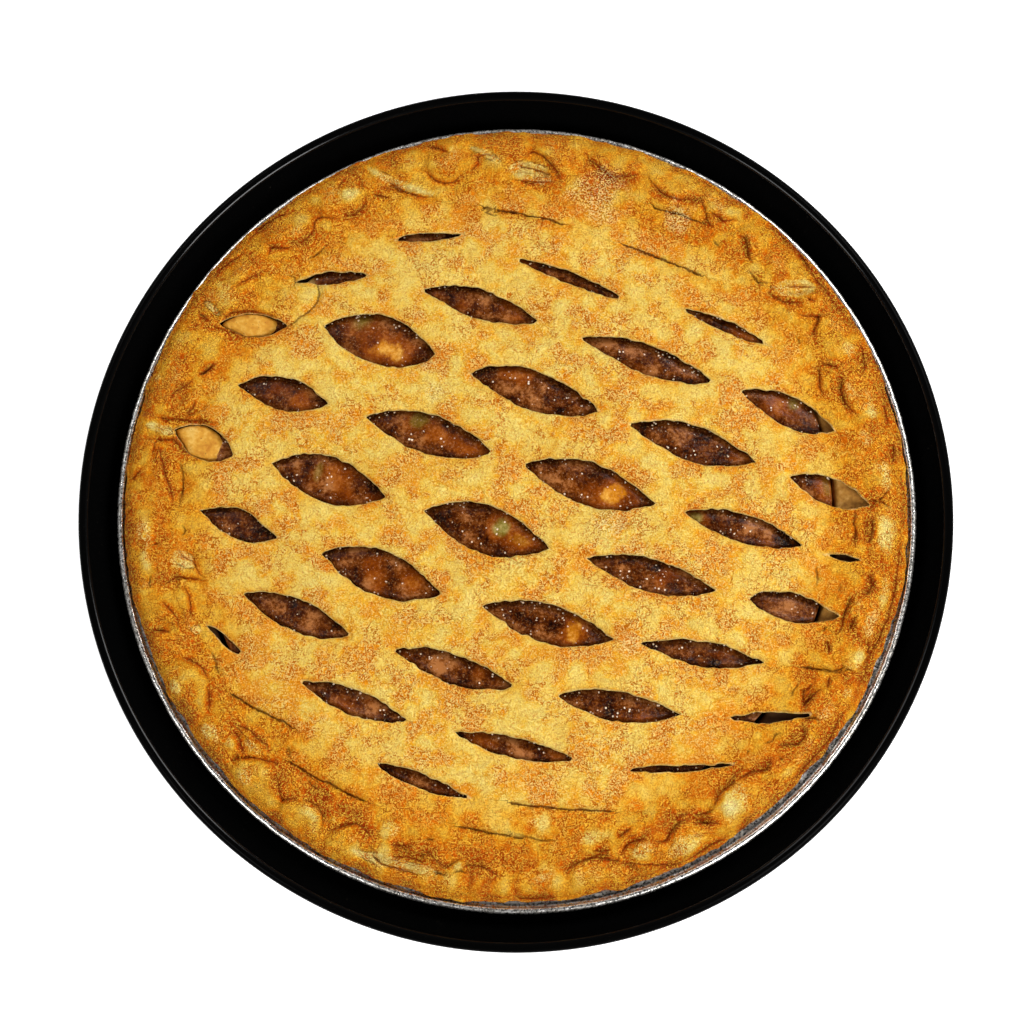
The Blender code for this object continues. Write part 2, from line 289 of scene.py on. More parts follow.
# The dome and the rows of cuts start from the sizes of the solids, in mm
crust = {
    "cells": 312, "centre": (-1.0, 0.4), "radius": 119.6, "thick": 3.0, "foot": 36.6, "rest": 39.5,
    "rimTop": 43.2, "edgeTop": 38.4, "dome": 100.0, "domeHeight": 9.3, "domePower": 2.4,
    "ridge": 1.0, "settle": 0.9, "nose": 3.0, "noseRings": 7,
    # the edge: waves as (count, height, phase), then random lumps, kept inside the furthest radius
    "edge": 120.0, "edgeWaves": ((1, 1.1, 0.9), (3, 0.3, 1.0)), "edgeLumps": 1.3, "edgeMost": 122.6,
    "caseEdge": 114.7,
    # the top eases off above this height, by this much at most
    "topMost": 51.4, "topEase": 0.9,
    # open edges outside this radius belong to the rim and the others to cuts
    "outerFrom": 117,
    # rings down a cut's wall: part of the way down, and how far it stands back under the lip
    "walls": ((0.35, -0.1), (0.7, 0.15), (1.0, 0.5)), "outerLean": 1.2, "sole": 0.15,
    # radii of the rings of points that fill the underside, points per mm of radius, room left at a cut
    "underRings": (20, 40, 60, 78, 92, 102, 110, 114.3, 115.0, 117.0), "underCount": 1.6, "underRoom": 1.2,
    "sharpFrom": 55,
    # where two petals of the crimp meet, in degrees round the pie, and the radius there
    "cusps": (-174.5, -170, -165.5, -161, -156, -146, -137.5, -128, -119.5, -113, -106, -97, -90, -82,
              -72, -65, -58, -47.5, -43, -36, -27, -20.5, -12, -8, 2, 9, 13, 24, 33.5, 38, 46, 52, 60,
              69, 78, 87, 96.5, 104, 109, 115, 123, 131, 135, 146, 149, 155, 164, 168, 174),
    "cuspRadius": 112.4, "petalDepth": 0.31, "petalHeight": 1.3,
    # straps of paler dough that show between the petals: half width, then degrees and radius by turns
    "straps": ((1.3, 112.4, 117, 110.6, 111.5, 107.4, 105.5, 103.6, 101.8), (1.0, 96.6, 116, 92.2, 109.8),
        (2.6, 90.5, 108, 86.5, 106, 83.5, 104.4), (2.3, 37, 117, 38.5, 111.6, 41.2, 106),
        (1.5, -101, 113, -109.3, 114, -115, 114.6), (1.0, 145.3, 115.5, 146, 108),
        (1.0, 166.2, 116, 167, 107), (1.4, -159.6, 102, -158.4, 103.6), (2.0, -173, 103.6, -170, 99)),
    # floury grains: right, back and size of each patch
    "floury": ((25.7, 99, 11), (28, -5, 7), (38, -15, 8), (34, -42, 4), (50, 93, 6), (-26, 36, 4),
        (-27, 43, 3)),
    # torn lines of the skin, degrees and radius by turns
    "tears": ((3.8, 116, 1.7, 112.2, 0.2, 116), (1.7, 112.2, 1.6, 108.5),
        (156.5, 105.5, 155.4, 104.2, 153.4, 102.6), (-127, 103.2, -124, 104),
        (127.5, 92.8, 129, 94.4, 130.4, 92, 131.5, 89.3, 133.2, 88, 135.6, 87.5, 140.2, 89.5, 142, 91),
        (174, 101.3, 171.5, 102.6), (133.5, 97, 132.5, 99, 133.3, 101),
        (-100, 113.3, -101.2, 113, -102.4, 112.8), (129, 101, 126.5, 100.4, 124, 101),
        (180, 101.5, 176, 101, 173, 101.5, 171, 103), (-13, 102.6, -14.2, 102.6),
        (93, 94.5, 95.5, 94, 94, 92.7, 92.5, 92.5), (54, 105, 52, 104.2),
        (46.5, 104.3, 44, 104, 43.3, 103.5, 41.8, 107), (32, 103, 30.5, 102.5),
        (-31.2, 101.7, -33, 101.7, -34.2, 102.3), (-26, 112, -27, 110, -28, 106),
        (-43.1, 112, -43.2, 110.3), (-45.7, 102.8, -46.7, 103.4), (-35.8, 108.5, -35, 111.5, -35, 113.5),
        (-40, 106.5, -40.8, 105.3, -42, 106, -43.5, 104.3), (-82, 102, -85, 101.5, -88, 99.8, -90, 99.3),
        (-96.8, 112, -98, 111.3, -99.3, 112.3), (-110, 115, -112, 113.3), (-103, 103.3, -104.8, 104),
        (-131.5, 101.5, -133, 100.5), (-131.9, 100.7, -133.2, 99.4), (-20.5, 102, -21.6, 101.2),
        (-150, 102, -152, 102.2, -153.3, 101.3, -155, 100.8), (-173.3, 106.5, -173.4, 105.5),
        (-174.7, 108, -174.5, 110.5), (-175.5, 101, -176.5, 100, -177.3, 101), (-167.8, 113, -169.8, 112),
        (-14.5, 95, -13.3, 95.2, -11.5, 94, -10.5, 94)),
    # creases where dough folds over or a petal ends, clockwise, degrees and radius by turns
    "folds": ((180, 104, 178, 103.9, 176, 105, 174, 106.8, 172, 108, 170, 110, 168.7, 111.3),
        (175.5, 115.5, 174.8, 117, 173.2, 114.5), (172.5, 112, 168.5, 111, 168, 106, 169.5, 102, 170.2, 97),
        (169.3, 101, 167.5, 104, 166.5, 104, 165.3, 101, 164.5, 97, 165, 93),
        (165, 115, 164.8, 108, 164.2, 103, 163.5, 98, 163.2, 93), (163.5, 104.5, 162, 103, 160.5, 103),
        (162, 110, 160.5, 110, 159.3, 108, 158.3, 106.5, 157, 105.8),
        (156, 106, 155.8, 104.5, 154.5, 103, 153, 102.5),
        (148.2, 110, 147.5, 104, 146.2, 98.5, 144.5, 94.8, 143, 92.8),
        (147.2, 104, 145.5, 107, 144, 105.5, 142, 101, 140.5, 95, 140.5, 92.5), (147.3, 115, 147.8, 110),
        (142.5, 117.5, 140, 118, 138, 117.5, 136.5, 116, 134.8, 116.5),
        (134.8, 116.5, 133.5, 118, 131, 119, 128, 117.5, 126, 116, 125, 116.5),
        (141.5, 111, 139.5, 109.5, 138, 108.5, 136.5, 107.5, 135.5, 107.3),
        (133.5, 109.5, 132, 111.5, 131.5, 110.5, 130.8, 108.5, 129, 106.5),
        (130, 108, 128, 106, 126.5, 106, 125, 107, 124, 109.5, 122.5, 109.5, 121.2, 107, 120, 105),
        (119.5, 107, 118.5, 105, 116.5, 105, 115, 107, 114.3, 109),
        (118.2, 114.3, 117.8, 115, 116.8, 116.5, 115.5, 117),
        (110.8, 112, 109.5, 108, 108, 105, 106.5, 103, 105, 102, 103.4, 101.3),
        (113.7, 108.3, 112.8, 107, 112, 106, 111, 105),
        (104.8, 111.5, 104, 110, 103, 106.5, 101.5, 105, 100, 104.5, 99, 106, 97.5, 106),
        (97.5, 106, 96.5, 108, 95.5, 110, 95.5, 112, 94, 112.3, 92.5, 111),
        (103, 118.7, 101.5, 117, 100.3, 115.5, 99.8, 114), (90, 108.5, 87, 107.8, 84, 106.5, 83, 105.5),
        (90, 104.5, 87.5, 103.5, 85, 103.5, 82.5, 104.8),
        (88, 110.5, 87, 113.7, 85.5, 112, 84, 109.5, 82.5, 107, 81.5, 104),
        (78.5, 116, 78, 113, 76, 111, 74, 109, 73, 109, 71.5, 110.5, 70, 112.5, 68.7, 114),
        (68.7, 114, 67, 111.5, 65, 109.5, 63.5, 109.5, 62.5, 110, 61, 112, 60, 113, 58.5, 112.5),
        (60, 114.5, 58.5, 112.5, 57.5, 111, 56.5, 109, 55, 108),
        (57.5, 111.8, 55.5, 112, 54.5, 111.5, 53.5, 113.5, 52.7, 115.2),
        (51.5, 111, 50, 111.5, 49, 110, 48, 108.5, 47.2, 107.5, 46, 107),
        (41.5, 104.5, 40, 104.3, 38, 106, 37, 108.5, 35.8, 111.3), (40, 109.5, 38.5, 113, 37, 117.5),
        (36.5, 112, 35, 114.5),
        (35.5, 107, 34.5, 108, 33.5, 110.5, 32.8, 112, 32, 110.5, 31, 108, 30, 106.3),
        (50, 121, 47, 120.5, 43, 120.8, 39.5, 119, 36, 119, 30, 119),
        (27, 120, 25, 119, 22.5, 117, 21.3, 114.5), (17, 119, 13, 118.5), (11, 119, 7, 117.3),
        (22.5, 109.5, 21.5, 108, 20.5, 107, 18, 107, 16, 109.5, 15, 110.3),
        (26.5, 106, 25.5, 105, 25, 107, 24.3, 109, 23.5, 109.2), (26, 104, 24, 103, 22, 102, 20.5, 101.5),
        (0, 105, -2.3, 104.2, -3.5, 105, -6.5, 105), (-1, 109.5, -3.5, 109.8, -5.5, 109.3),
        (-10, 110, -11, 111.5, -12, 112, -13.5, 110.8, -14, 109.5),
        (-14, 105.5, -15.5, 106.2, -16.8, 106, -18.5, 106, -20.3, 106, -21.8, 105),
        (-1, 119, -6, 118.8, -12, 119.2, -16, 118.9, -20, 118, -21.5, 117, -25, 118, -30, 118.8),
        (-20, 115, -21.3, 116.2, -23, 116.8, -24.5, 116.3), (-17.5, 109, -19, 109, -20, 108.5),
        (-22.8, 103.5, -24, 105, -25, 105.3), (-27.8, 109, -29, 109.8, -30, 110.2),
        (-30, 109, -31, 107.8, -32, 107.3, -34, 106.8, -35, 107.3, -35.8, 108.3),
        (-30, 118.8, -32, 118, -36, 118.7, -42, 118.2, -46, 117.8),
        (-30, 105.2, -31.5, 105.3, -32.3, 104.2, -33.5, 105.8, -35, 107),
        (-36.5, 109, -37.5, 111.5, -38.5, 112.5, -40, 112, -40.5, 110, -41.5, 108.5, -42.5, 107.5),
        (-43.8, 109.5, -46, 110.5, -47, 109.3, -48, 108, -49.5, 107.3, -51, 106.5),
        (-47.7, 105.2, -50.5, 105.2, -51.5, 106.5, -53, 106.8, -54.5, 107.3, -56, 109.3, -56.8, 110.5),
        (-52.5, 118, -54, 119, -55.5, 119), (-56.5, 119, -60, 118.3, -61.5, 118.5, -63.5, 119),
        (-56.8, 115, -58, 113, -59, 111.5, -60.5, 110), (-56, 110, -57.5, 110, -59, 108.8, -60, 108.3),
        (-60, 108.3, -61.5, 107.8, -63, 108, -64.3, 109.5, -65.3, 111.5, -66.8, 110.5, -68, 109),
        (-68, 109, -69.3, 108, -71, 107.8, -72, 109, -73, 110.8), (-60, 107, -61.5, 106, -63, 106.5),
        (-69.5, 103.5, -71, 104.3, -72.5, 105.5),
        (-64.5, 119, -66.5, 118, -68.5, 116.3, -70, 115.2, -72, 113.3, -73, 112.5),
        (-71, 117.5, -71.5, 115, -73.5, 112, -75, 110.5, -76.5, 109.2, -78, 109, -80, 109.5, -82, 112),
        (-74, 108.3, -75.5, 107.8, -77.2, 107), (-83.5, 118.8, -86.5, 118.5, -90, 118.2),
        (-91.8, 113, -92.5, 111.5, -94, 109.8, -95.5, 109, -97, 109, -98.5, 111.5),
        (-97.5, 107, -99, 108.5, -100.3, 110.8, -101.5, 110, -102.5, 109, -104, 107.5, -106, 107),
        (-106, 107, -108, 108, -110, 109), (-103, 111.8, -105, 110.5, -107, 110.8, -109.5, 112),
        (-104, 115, -107, 114.5, -110, 115, -111, 114.3, -112, 113),
        (-112, 110.5, -113.5, 108.3, -115, 107, -116.3, 107, -117.5, 109, -118.5, 111, -120, 113.3),
        (-120.5, 113.5, -120.8, 111.5, -121.5, 109.5, -122.7, 108.2, -124.5, 108.2, -126, 109.3),
        (-126, 109.3, -127.3, 111, -128.1, 112.8, -129.5, 110.5, -131, 108, -131.7, 107),
        (-131, 105.5, -133, 106, -135, 108, -136.3, 110, -137.3, 112.3, -138.5, 116),
        (-137.2, 111.3, -138.5, 109.5, -140, 108.3, -141.5, 108),
        (-134.4, 104.5, -136, 103.8, -138, 104.3, -139.5, 104, -140.5, 105, -142.5, 107),
        (-146, 111.5, -147, 109.5, -148.5, 108, -150, 107.2),
        (-150, 106, -152.5, 105.8, -154, 107, -155.3, 109, -155.8, 111),
        (-160.2, 110, -160.8, 112.5, -161.5, 115, -162, 116),
        (-160, 107.5, -162, 107, -163, 108, -164.5, 109.5, -165.5, 111),
        (-161, 103, -163, 102.5, -165, 101.8, -166.5, 102.5, -167.8, 102.3),
        (-167.5, 109, -168.5, 104, -168, 100, -167, 97, -166.6, 95),
        (-167, 95.5, -168.5, 97.2, -171, 98.5, -172, 101.5, -173.5, 103)),
    # places baked darker (more than 0) or paler: degrees, radius, half size round and outward, how much
    "baked": ((-179, 117, 5, 2, 0.2), (172, 109, 5, 3, 0.1), (165, 116, 6, 1.5, 0.15),
        (110.5, 116, 6, 3, 0.26), (42, 111, 2, 2, 0.2), (-2.5, 109.5, 5, 1.6, 0.18),
        (-12, 111.2, 4, 1.8, 0.22), (-21, 110, 4, 3, 0.15), (-38, 110.5, 4, 2.2, 0.2),
        (-46, 108.5, 4, 1.5, 0.18), (-55.5, 109, 4, 1.5, 0.15), (-66, 106, 10, 3, 0.24),
        (-78, 110, 6, 1.2, 0.2), (-88, 97.5, 4, 2, 0.2), (-94, 114, 5, 4, 0.2), (-105.2, 118, 3, 1.2, 0.24),
        (-112.5, 119.3, 5, 1.8, 0.28), (-123, 105, 9, 3, 0.2), (-133.5, 119, 2.5, 1, 0.2),
        (-140, 118.7, 4, 1.5, 0.26), (-148.5, 116.5, 4, 3.2, 0.28), (-161, 117.5, 3, 1.2, 0.2),
        (-171, 117, 4, 2.5, 0.2), (-169, 106, 2, 4, 0.2), (-117, 105.5, 5, 3, 0.2), (-95, 106, 5, 2, 0.12),
        (116.5, 111, 3, 2, -0.25), (166.7, 109, 2.5, 2.5, -0.25), (26, 115, 3, 2, -0.2),
        (16, 114.5, 3, 2, -0.2), (20.5, 109, 3, 2, -0.15), (12, 110.5, 3, 2, -0.2), (6, 114.5, 4, 2, -0.2),
        (159, 117, 2, 1, -0.2), (-3, 114.5, 6, 3, -0.2), (-12.5, 116.5, 5, 2.2, -0.25),
        (-18, 114.5, 4, 2, -0.2), (-23, 115, 4, 1.8, -0.22), (-29, 116, 3, 2.5, -0.2),
        (-33, 113.5, 3, 2, -0.2), (-42.5, 116, 4, 2, -0.15), (-53.5, 112, 4, 3.5, -0.3),
        (-63.5, 115, 6, 3, -0.25), (-70, 111, 4, 2.5, -0.28), (-86, 113, 3, 1.4, -0.2),
        (-85, 96, 3, 2.5, -0.2), (-76, 103, 5, 2.5, -0.2), (-98, 110, 2.5, 1.5, -0.25),
        (-106, 112.8, 6, 1, -0.3), (-111, 105, 3, 3, -0.2), (-123, 110.8, 4, 2, -0.25),
        (-134.5, 115.5, 3, 2.5, -0.25), (-143, 114.5, 4, 2, -0.3), (-137.3, 107.5, 5, 1.8, -0.25),
        (-152, 116, 3, 1.8, -0.25), (-159.5, 103.8, 1.2, 1, -0.4), (-171, 102.5, 3.5, 2.5, -0.25),
        (-172.5, 113, 4, 2, -0.2), (-176.8, 112.5, 4, 2.5, -0.25), (-140, 111.3, 2, 1.5, -0.25),
        (-119.5, 109, 2.5, 1.2, -0.2), (86.5, 106, 4, 1.2, -0.2)),
}
lattice = {
    "turn": math.radians(-17.6), "reach": 120.0, "shift": (-5.8, 9.2),
    "columnPitch": 51.6, "columnClosing": 0.125,
    "rowPitch": 22.9, "rowClosing": (0.0095, 0.007), "rowBend": 0.264, "rowSweep": 10.7,
    "length": 41.0, "lengthReach": 115.0, "lengthLean": 0.15, "skew": 0.08, "groove": 1.3,
    # the width that a closed cut is measured with
    "shutWidth": 0.01,
    # row, its first column, how far it slipped along, and how wide each cut stands open
    "rows": ((-6, 1.0, 2, (0,)), (-5, -0.5, 2, (0, 0)), (-4, -1.0, 0.5, (3, 4, 4)),
             (-3, -1.5, 3.5, (5, 9, 9.5, 8.5)), (-2, -2.0, 0.5, (5, 15, 12.5, 12.5, 8)),
             (-1, -1.5, 0, (10, 12.5, 14, 10, 3)), (0, -2.0, 0, (5, 14, 15, 11, 8.5)),
             (1, -1.5, -0.5, (9, 14, 12, 8, 0)), (2, -1.0, 3, (9.5, 9, 9.5, 4)),
             (3, -1.5, 3.5, (3, 8, 6, 3)), (4, -1.0, 0.5, (0, 5, 0)), (5, -0.5, 1, (0, 0))),
    # how single cuts moved in baking: right, back, longer by a part, wider, turned in degrees
    "settled": { (-2, -2.0): (5.4, 0.8, 0.62, 2.6, 6), (0, -2.0): (2.4, 0, 0.35, 5.5, -8),
        (-6, 1.0): (-24, 14, 0.6, 0, 6), (-5, -0.5): (3, -1.5, 0.1, 0, 0), (-5, 0.5): (-3, -0.5, 0, 0, 0),
        (-4, -1.0): (3.5, 0.5, -0.05, 0, 13), (-4, 0.0): (-0.8, -1.5, 0.08, 0, -4),
        (-4, 1.0): (-0.5, 1, 0, 0, 0), (-3, -1.5): (0.5, 1.2, 0, -0.5, 12),
        (-3, -0.5): (-0.9, 1.3, 0.03, 0.3, -2), (-3, 0.5): (0.9, -0.7, 0.08, 0, 1),
        (-3, 1.5): (-0.7, 0.8, 0.1, 1.2, 0), (-2, -1.0): (1.4, 3.1, 0.06, 1.0, -3),
        (-2, 0.0): (-0.3, 0, 0.05, 0, 0), (-2, 1.0): (0, -0.4, -0.02, -1, 2),
        (-2, 2.0): (0.8, -0.6, 0.08, 0.5, 0), (-1, -1.5): (1, 1.2, 0, 0.8, 0),
        (-1, -0.5): (-0.6, 0.3, 0.05, 0, 0), (-1, 0.5): (-0.8, -0.2, 0, -0.6, 0),
        (-1, 1.5): (0.3, -0.4, -0.02, -1, 0), (-1, 2.5): (-4.6, 0.6, 0, -1.1, 5),
        (0, -1.0): (-1.0, 0.7, 0.04, 0.2, 0), (0, 0.0): (-0.6, 0, -0.03, 0, 0),
        (0, 1.0): (0.4, -0.3, -0.02, -0.8, 0), (0, 2.0): (1.0, -0.6, -0.03, 0.4, 0),
        (1, -1.5): (0.4, -0.3, 0, 0, 0), (1, -0.5): (-0.8, 0, 0.03, 0, 0), (1, 0.5): (0.6, -0.3, 0, 0, 0),
        (1, 1.5): (0, 0.3, 0, 0, 0), (2, -1.0): (-0.2, 0, 0.12, 0.5, 0), (2, 2.0): (1.4, 0.9, 0.2, -0.5, 4),
        (3, -1.5): (3.4, 0.6, 0, -0.5, -14), (3, -0.5): (-1, 0.2, 0.1, 0, 0),
        (3, 0.5): (-1.8, 0.8, 0.12, 0, -1), (3, 1.5): (-0.4, 0.2, 0.35, -0.6, 5),
        (4, -1.0): (1.6, 1.2, 0.3, 0, -4), (4, 0.0): (2.8, -1.6, 0.2, -0.6, -3),
        (4, 1.0): (-5, 0, 0.2, 0, 0), (5, -0.5): (1.2, 0.5, 0.7, 0, -5), (5, 0.5): (2, 0, 0, 0, 0)},
}


def rowLine(row, along):
    # place across the rows: evenly pitched, closing up, bent down to both sides, swept on the right
    part = along / lattice["reach"]
    closing = lattice["rowClosing"]
    straight = lattice["rowPitch"] * row * (1 - closing[0] * row - closing[1] * row * row)
    return straight * (1 - lattice["rowBend"] * part * part) - lattice["rowSweep"] * np.maximum(part, 0) ** 2


def toPlan(along, across):
    cosine, sine = math.cos(lattice["turn"]), math.sin(lattice["turn"])
    along, across = along + lattice["shift"][0], across + lattice["shift"][1]
    return along * cosine + across * sine, along * sine - across * cosine


def toLattice(x, y):
    cosine, sine = math.cos(lattice["turn"]), math.sin(lattice["turn"])
    return x * cosine + y * sine - lattice["shift"][0], x * sine - y * cosine - lattice["shift"][1]


def listCuts():
    found = []
    for row, firstColumn, slip, widths in lattice["rows"]:
        for index, width in enumerate(widths):
            place = (firstColumn + index) * lattice["columnPitch"]
            closing = lattice["columnClosing"] * (place / lattice["reach"]) ** 2
            middle = place * (1 - closing) + slip
            x, y = toPlan(middle, float(rowLine(row, middle)))
            reach = min((math.hypot(x, y) / lattice["lengthReach"]) ** 4, 0.9)
            length = lattice["length"] * (1 - reach) * (1 + lattice["lengthLean"] * x / lattice["reach"])
            settled = lattice["settled"].get((row, firstColumn + index), (0, 0, 0, 0, 0))
            right, back, longer, wider, turned = settled
            found.append({
                "row": row, "name": (row, firstColumn + index), "middle": middle, "x": x, "y": y,
                "length": length * (1 + longer), "width": width and width + wider,
                "right": right, "back": back, "turned": math.radians(turned)})
    return found


cuts = listCuts()


def cutSpace(x, y, cut):
    # distance from a lens of two leaning parabolas, less inside it, in mm; also which side of its row
    x, y = x - cut["right"] - cut["x"], y - cut["back"] - cut["y"]
    cosine, sine = math.cos(cut["turned"]), math.sin(cut["turned"])
    along, across = toLattice(cut["x"] + x * cosine + y * sine, cut["y"] + y * cosine - x * sine)
    part = np.clip(2 * (along - cut["middle"]) / cut["length"], -1.6, 1.6)
    off = across - rowLine(cut["row"], along)
    side = np.where(off > 0, 1, -1)
    lean = lattice["skew"]
    mid = part - side * lean * (1 - part * part)
    half = cut["width"] / 2 * (1 - mid * mid)
    steep = cut["width"] * 2 * mid * (1 + 2 * side * lean * part) / cut["length"]
    beyond = np.maximum(np.abs(2 * (along - cut["middle"]) / cut["length"]) - 1, 0) * cut["length"] / 2
    apart = (np.abs(off) - half) / np.sqrt(1 + steep * steep)
    return np.where(beyond > 0, np.hypot(np.abs(off), beyond), apart), side


def openSpace(x, y):
    # distance to the nearest open cut, less inside, with the small unevenness of a knife's cut
    nearest = np.full(x.shape, farAway)
    for cut in cuts:
        if cut["width"] > 0:
            nearest = np.minimum(nearest, cutSpace(x, y, cut)[0])
    return nearest + 0.5 * layered(x, y, 4.2, 91, 3) + 0.28 * swell(x, y, 1.7, 95)


def shutSpace(x, y):
    # distance to the nearest cut that has closed, and which side of it the place is on
    nearest, side = np.full(x.shape, farAway), np.ones(x.shape)
    for cut in cuts:
        if cut["width"] == 0:
            space, where = cutSpace(x, y, dict(cut, width=lattice["shutWidth"]))
            side = np.where(space < nearest, where, side)
            nearest = np.minimum(nearest, space)
    return nearest, side


def domeHeight(radius):
    # a dome, then a low ridge, then a fall to the edge
    part = np.clip((radius - crust["dome"]) / (crust["radius"] - crust["dome"]), 0, 1)
    inner = np.minimum(radius, crust["dome"]) / crust["dome"]
    dome = crust["domeHeight"] * (1 - inner ** crust["domePower"])
    fall = (crust["rimTop"] - crust["edgeTop"]) * part ** 2.5
    return crust["rimTop"] + dome - fall + crust["ridge"] * np.sin(math.pi * part)


def fromCentre(x, y):
    x, y = x - crust["centre"][0], y - crust["centre"][1]
    return np.hypot(x, y), np.arctan2(y, x)


def aboutCentre(radius, turn):
    return crust["centre"][0] + radius * np.cos(turn), crust["centre"][1] + radius * np.sin(turn)


def onCircle(turn):
    return readCircle * np.cos(turn), readCircle * np.sin(turn)


def edgeRadius(turn):
    edge = crust["edge"] + 0 * turn
    for count, tall, phase in crust["edgeWaves"]:
        edge = edge + tall * np.sin(count * turn + phase)
    return np.minimum(edge + crust["edgeLumps"] * layered(*onCircle(turn), 8, 51, 4, 0.6), crust["edgeMost"])


def strokeSpace(x, y, points):
    # distance to a bent line, signed by side, and a power of 1 at its middle and 0 at and past its ends
    ends = np.stack(aboutCentre(np.array(points[1::2]), np.radians(points[::2])), 1)
    long = np.hypot(*(ends[1:] - ends[:-1]).T)
    gone, total = 0.0, long.sum()
    nearest, power = np.full(x.shape, farAway), np.zeros(x.shape)
    for start, end, length in zip(ends, ends[1:], long):
        ux, uy = (end - start) / length
        along = (x - start[0]) * ux + (y - start[1]) * uy
        off = (x - start[0]) * uy - (y - start[1]) * ux
        held = np.clip(along, 0, length)
        far = np.hypot(off, along - held) * np.where(off > 0, 1, -1)
        closer = np.abs(far) < np.abs(nearest)
        nearest = np.where(closer, far, nearest)
        place = np.where((along < -1) | (along > length + 1), 0, (gone + held) / total)
        power = np.where(closer, 1 - np.abs(2 * place - 1) ** 3, power)
        gone += length
    return nearest, power


def nearestStroke(x, y, strokes):
    # signed distance to the nearest of many bent lines, and that line's power there
    nearest, power = np.full(x.shape, farAway), np.zeros(x.shape)
    for points in strokes:
        other, strength = strokeSpace(x, y, points)
        closer = np.abs(other) < np.abs(nearest)
        nearest, power = np.where(closer, other, nearest), np.where(closer, strength, power)
    return nearest, power


def petalShape(x, y, radius, turn):
    # arcs between the cusps: distance past the arc, place across the petal, valley, the petal's own number
    cusps = np.radians(np.array(crust["cusps"], float))
    ends = np.concatenate([[cusps[-1] - whole], cusps, [cusps[0] + whole]])
    turn = turn + (0.9 * swell(x, y, 11, 21) + 0.5 * swell(x, y, 4, 22)) / np.maximum(radius, 60)
    lobe = np.clip(np.searchsorted(ends, turn) - 1, 0, len(ends) - 2)
    part = 2 * (turn - ends[lobe]) / (ends[lobe + 1] - ends[lobe]) - 1
    wide = (ends[lobe + 1] - ends[lobe]) * 112
    own = np.mod(lobe, len(cusps))
    zero = own * 0
    cusp = crust["cuspRadius"] + 0.8 * (2 * scatter(own, zero, 31) - 1)
    depth = crust["petalDepth"] * np.minimum(wide, 19) * (0.8 + 0.4 * scatter(own, zero, 32))
    curve = 1.9 + 0.7 * scatter(own, zero, 34)
    crease = cusp - depth * (1 - np.abs(part) ** curve)
    steep = depth * curve * np.abs(part) ** (curve - 1) * 2 / wide
    outward = (radius - crease + 0.8 * layered(x, y, 5, 24, 3)) / np.sqrt(1 + steep * steep)
    valley = bell((1 - np.abs(part)) * wide / 2, 1.8) * smooth(radius - cusp, -1.0, 1.5)
    return outward, part, valley, scatter(own, zero, 33)


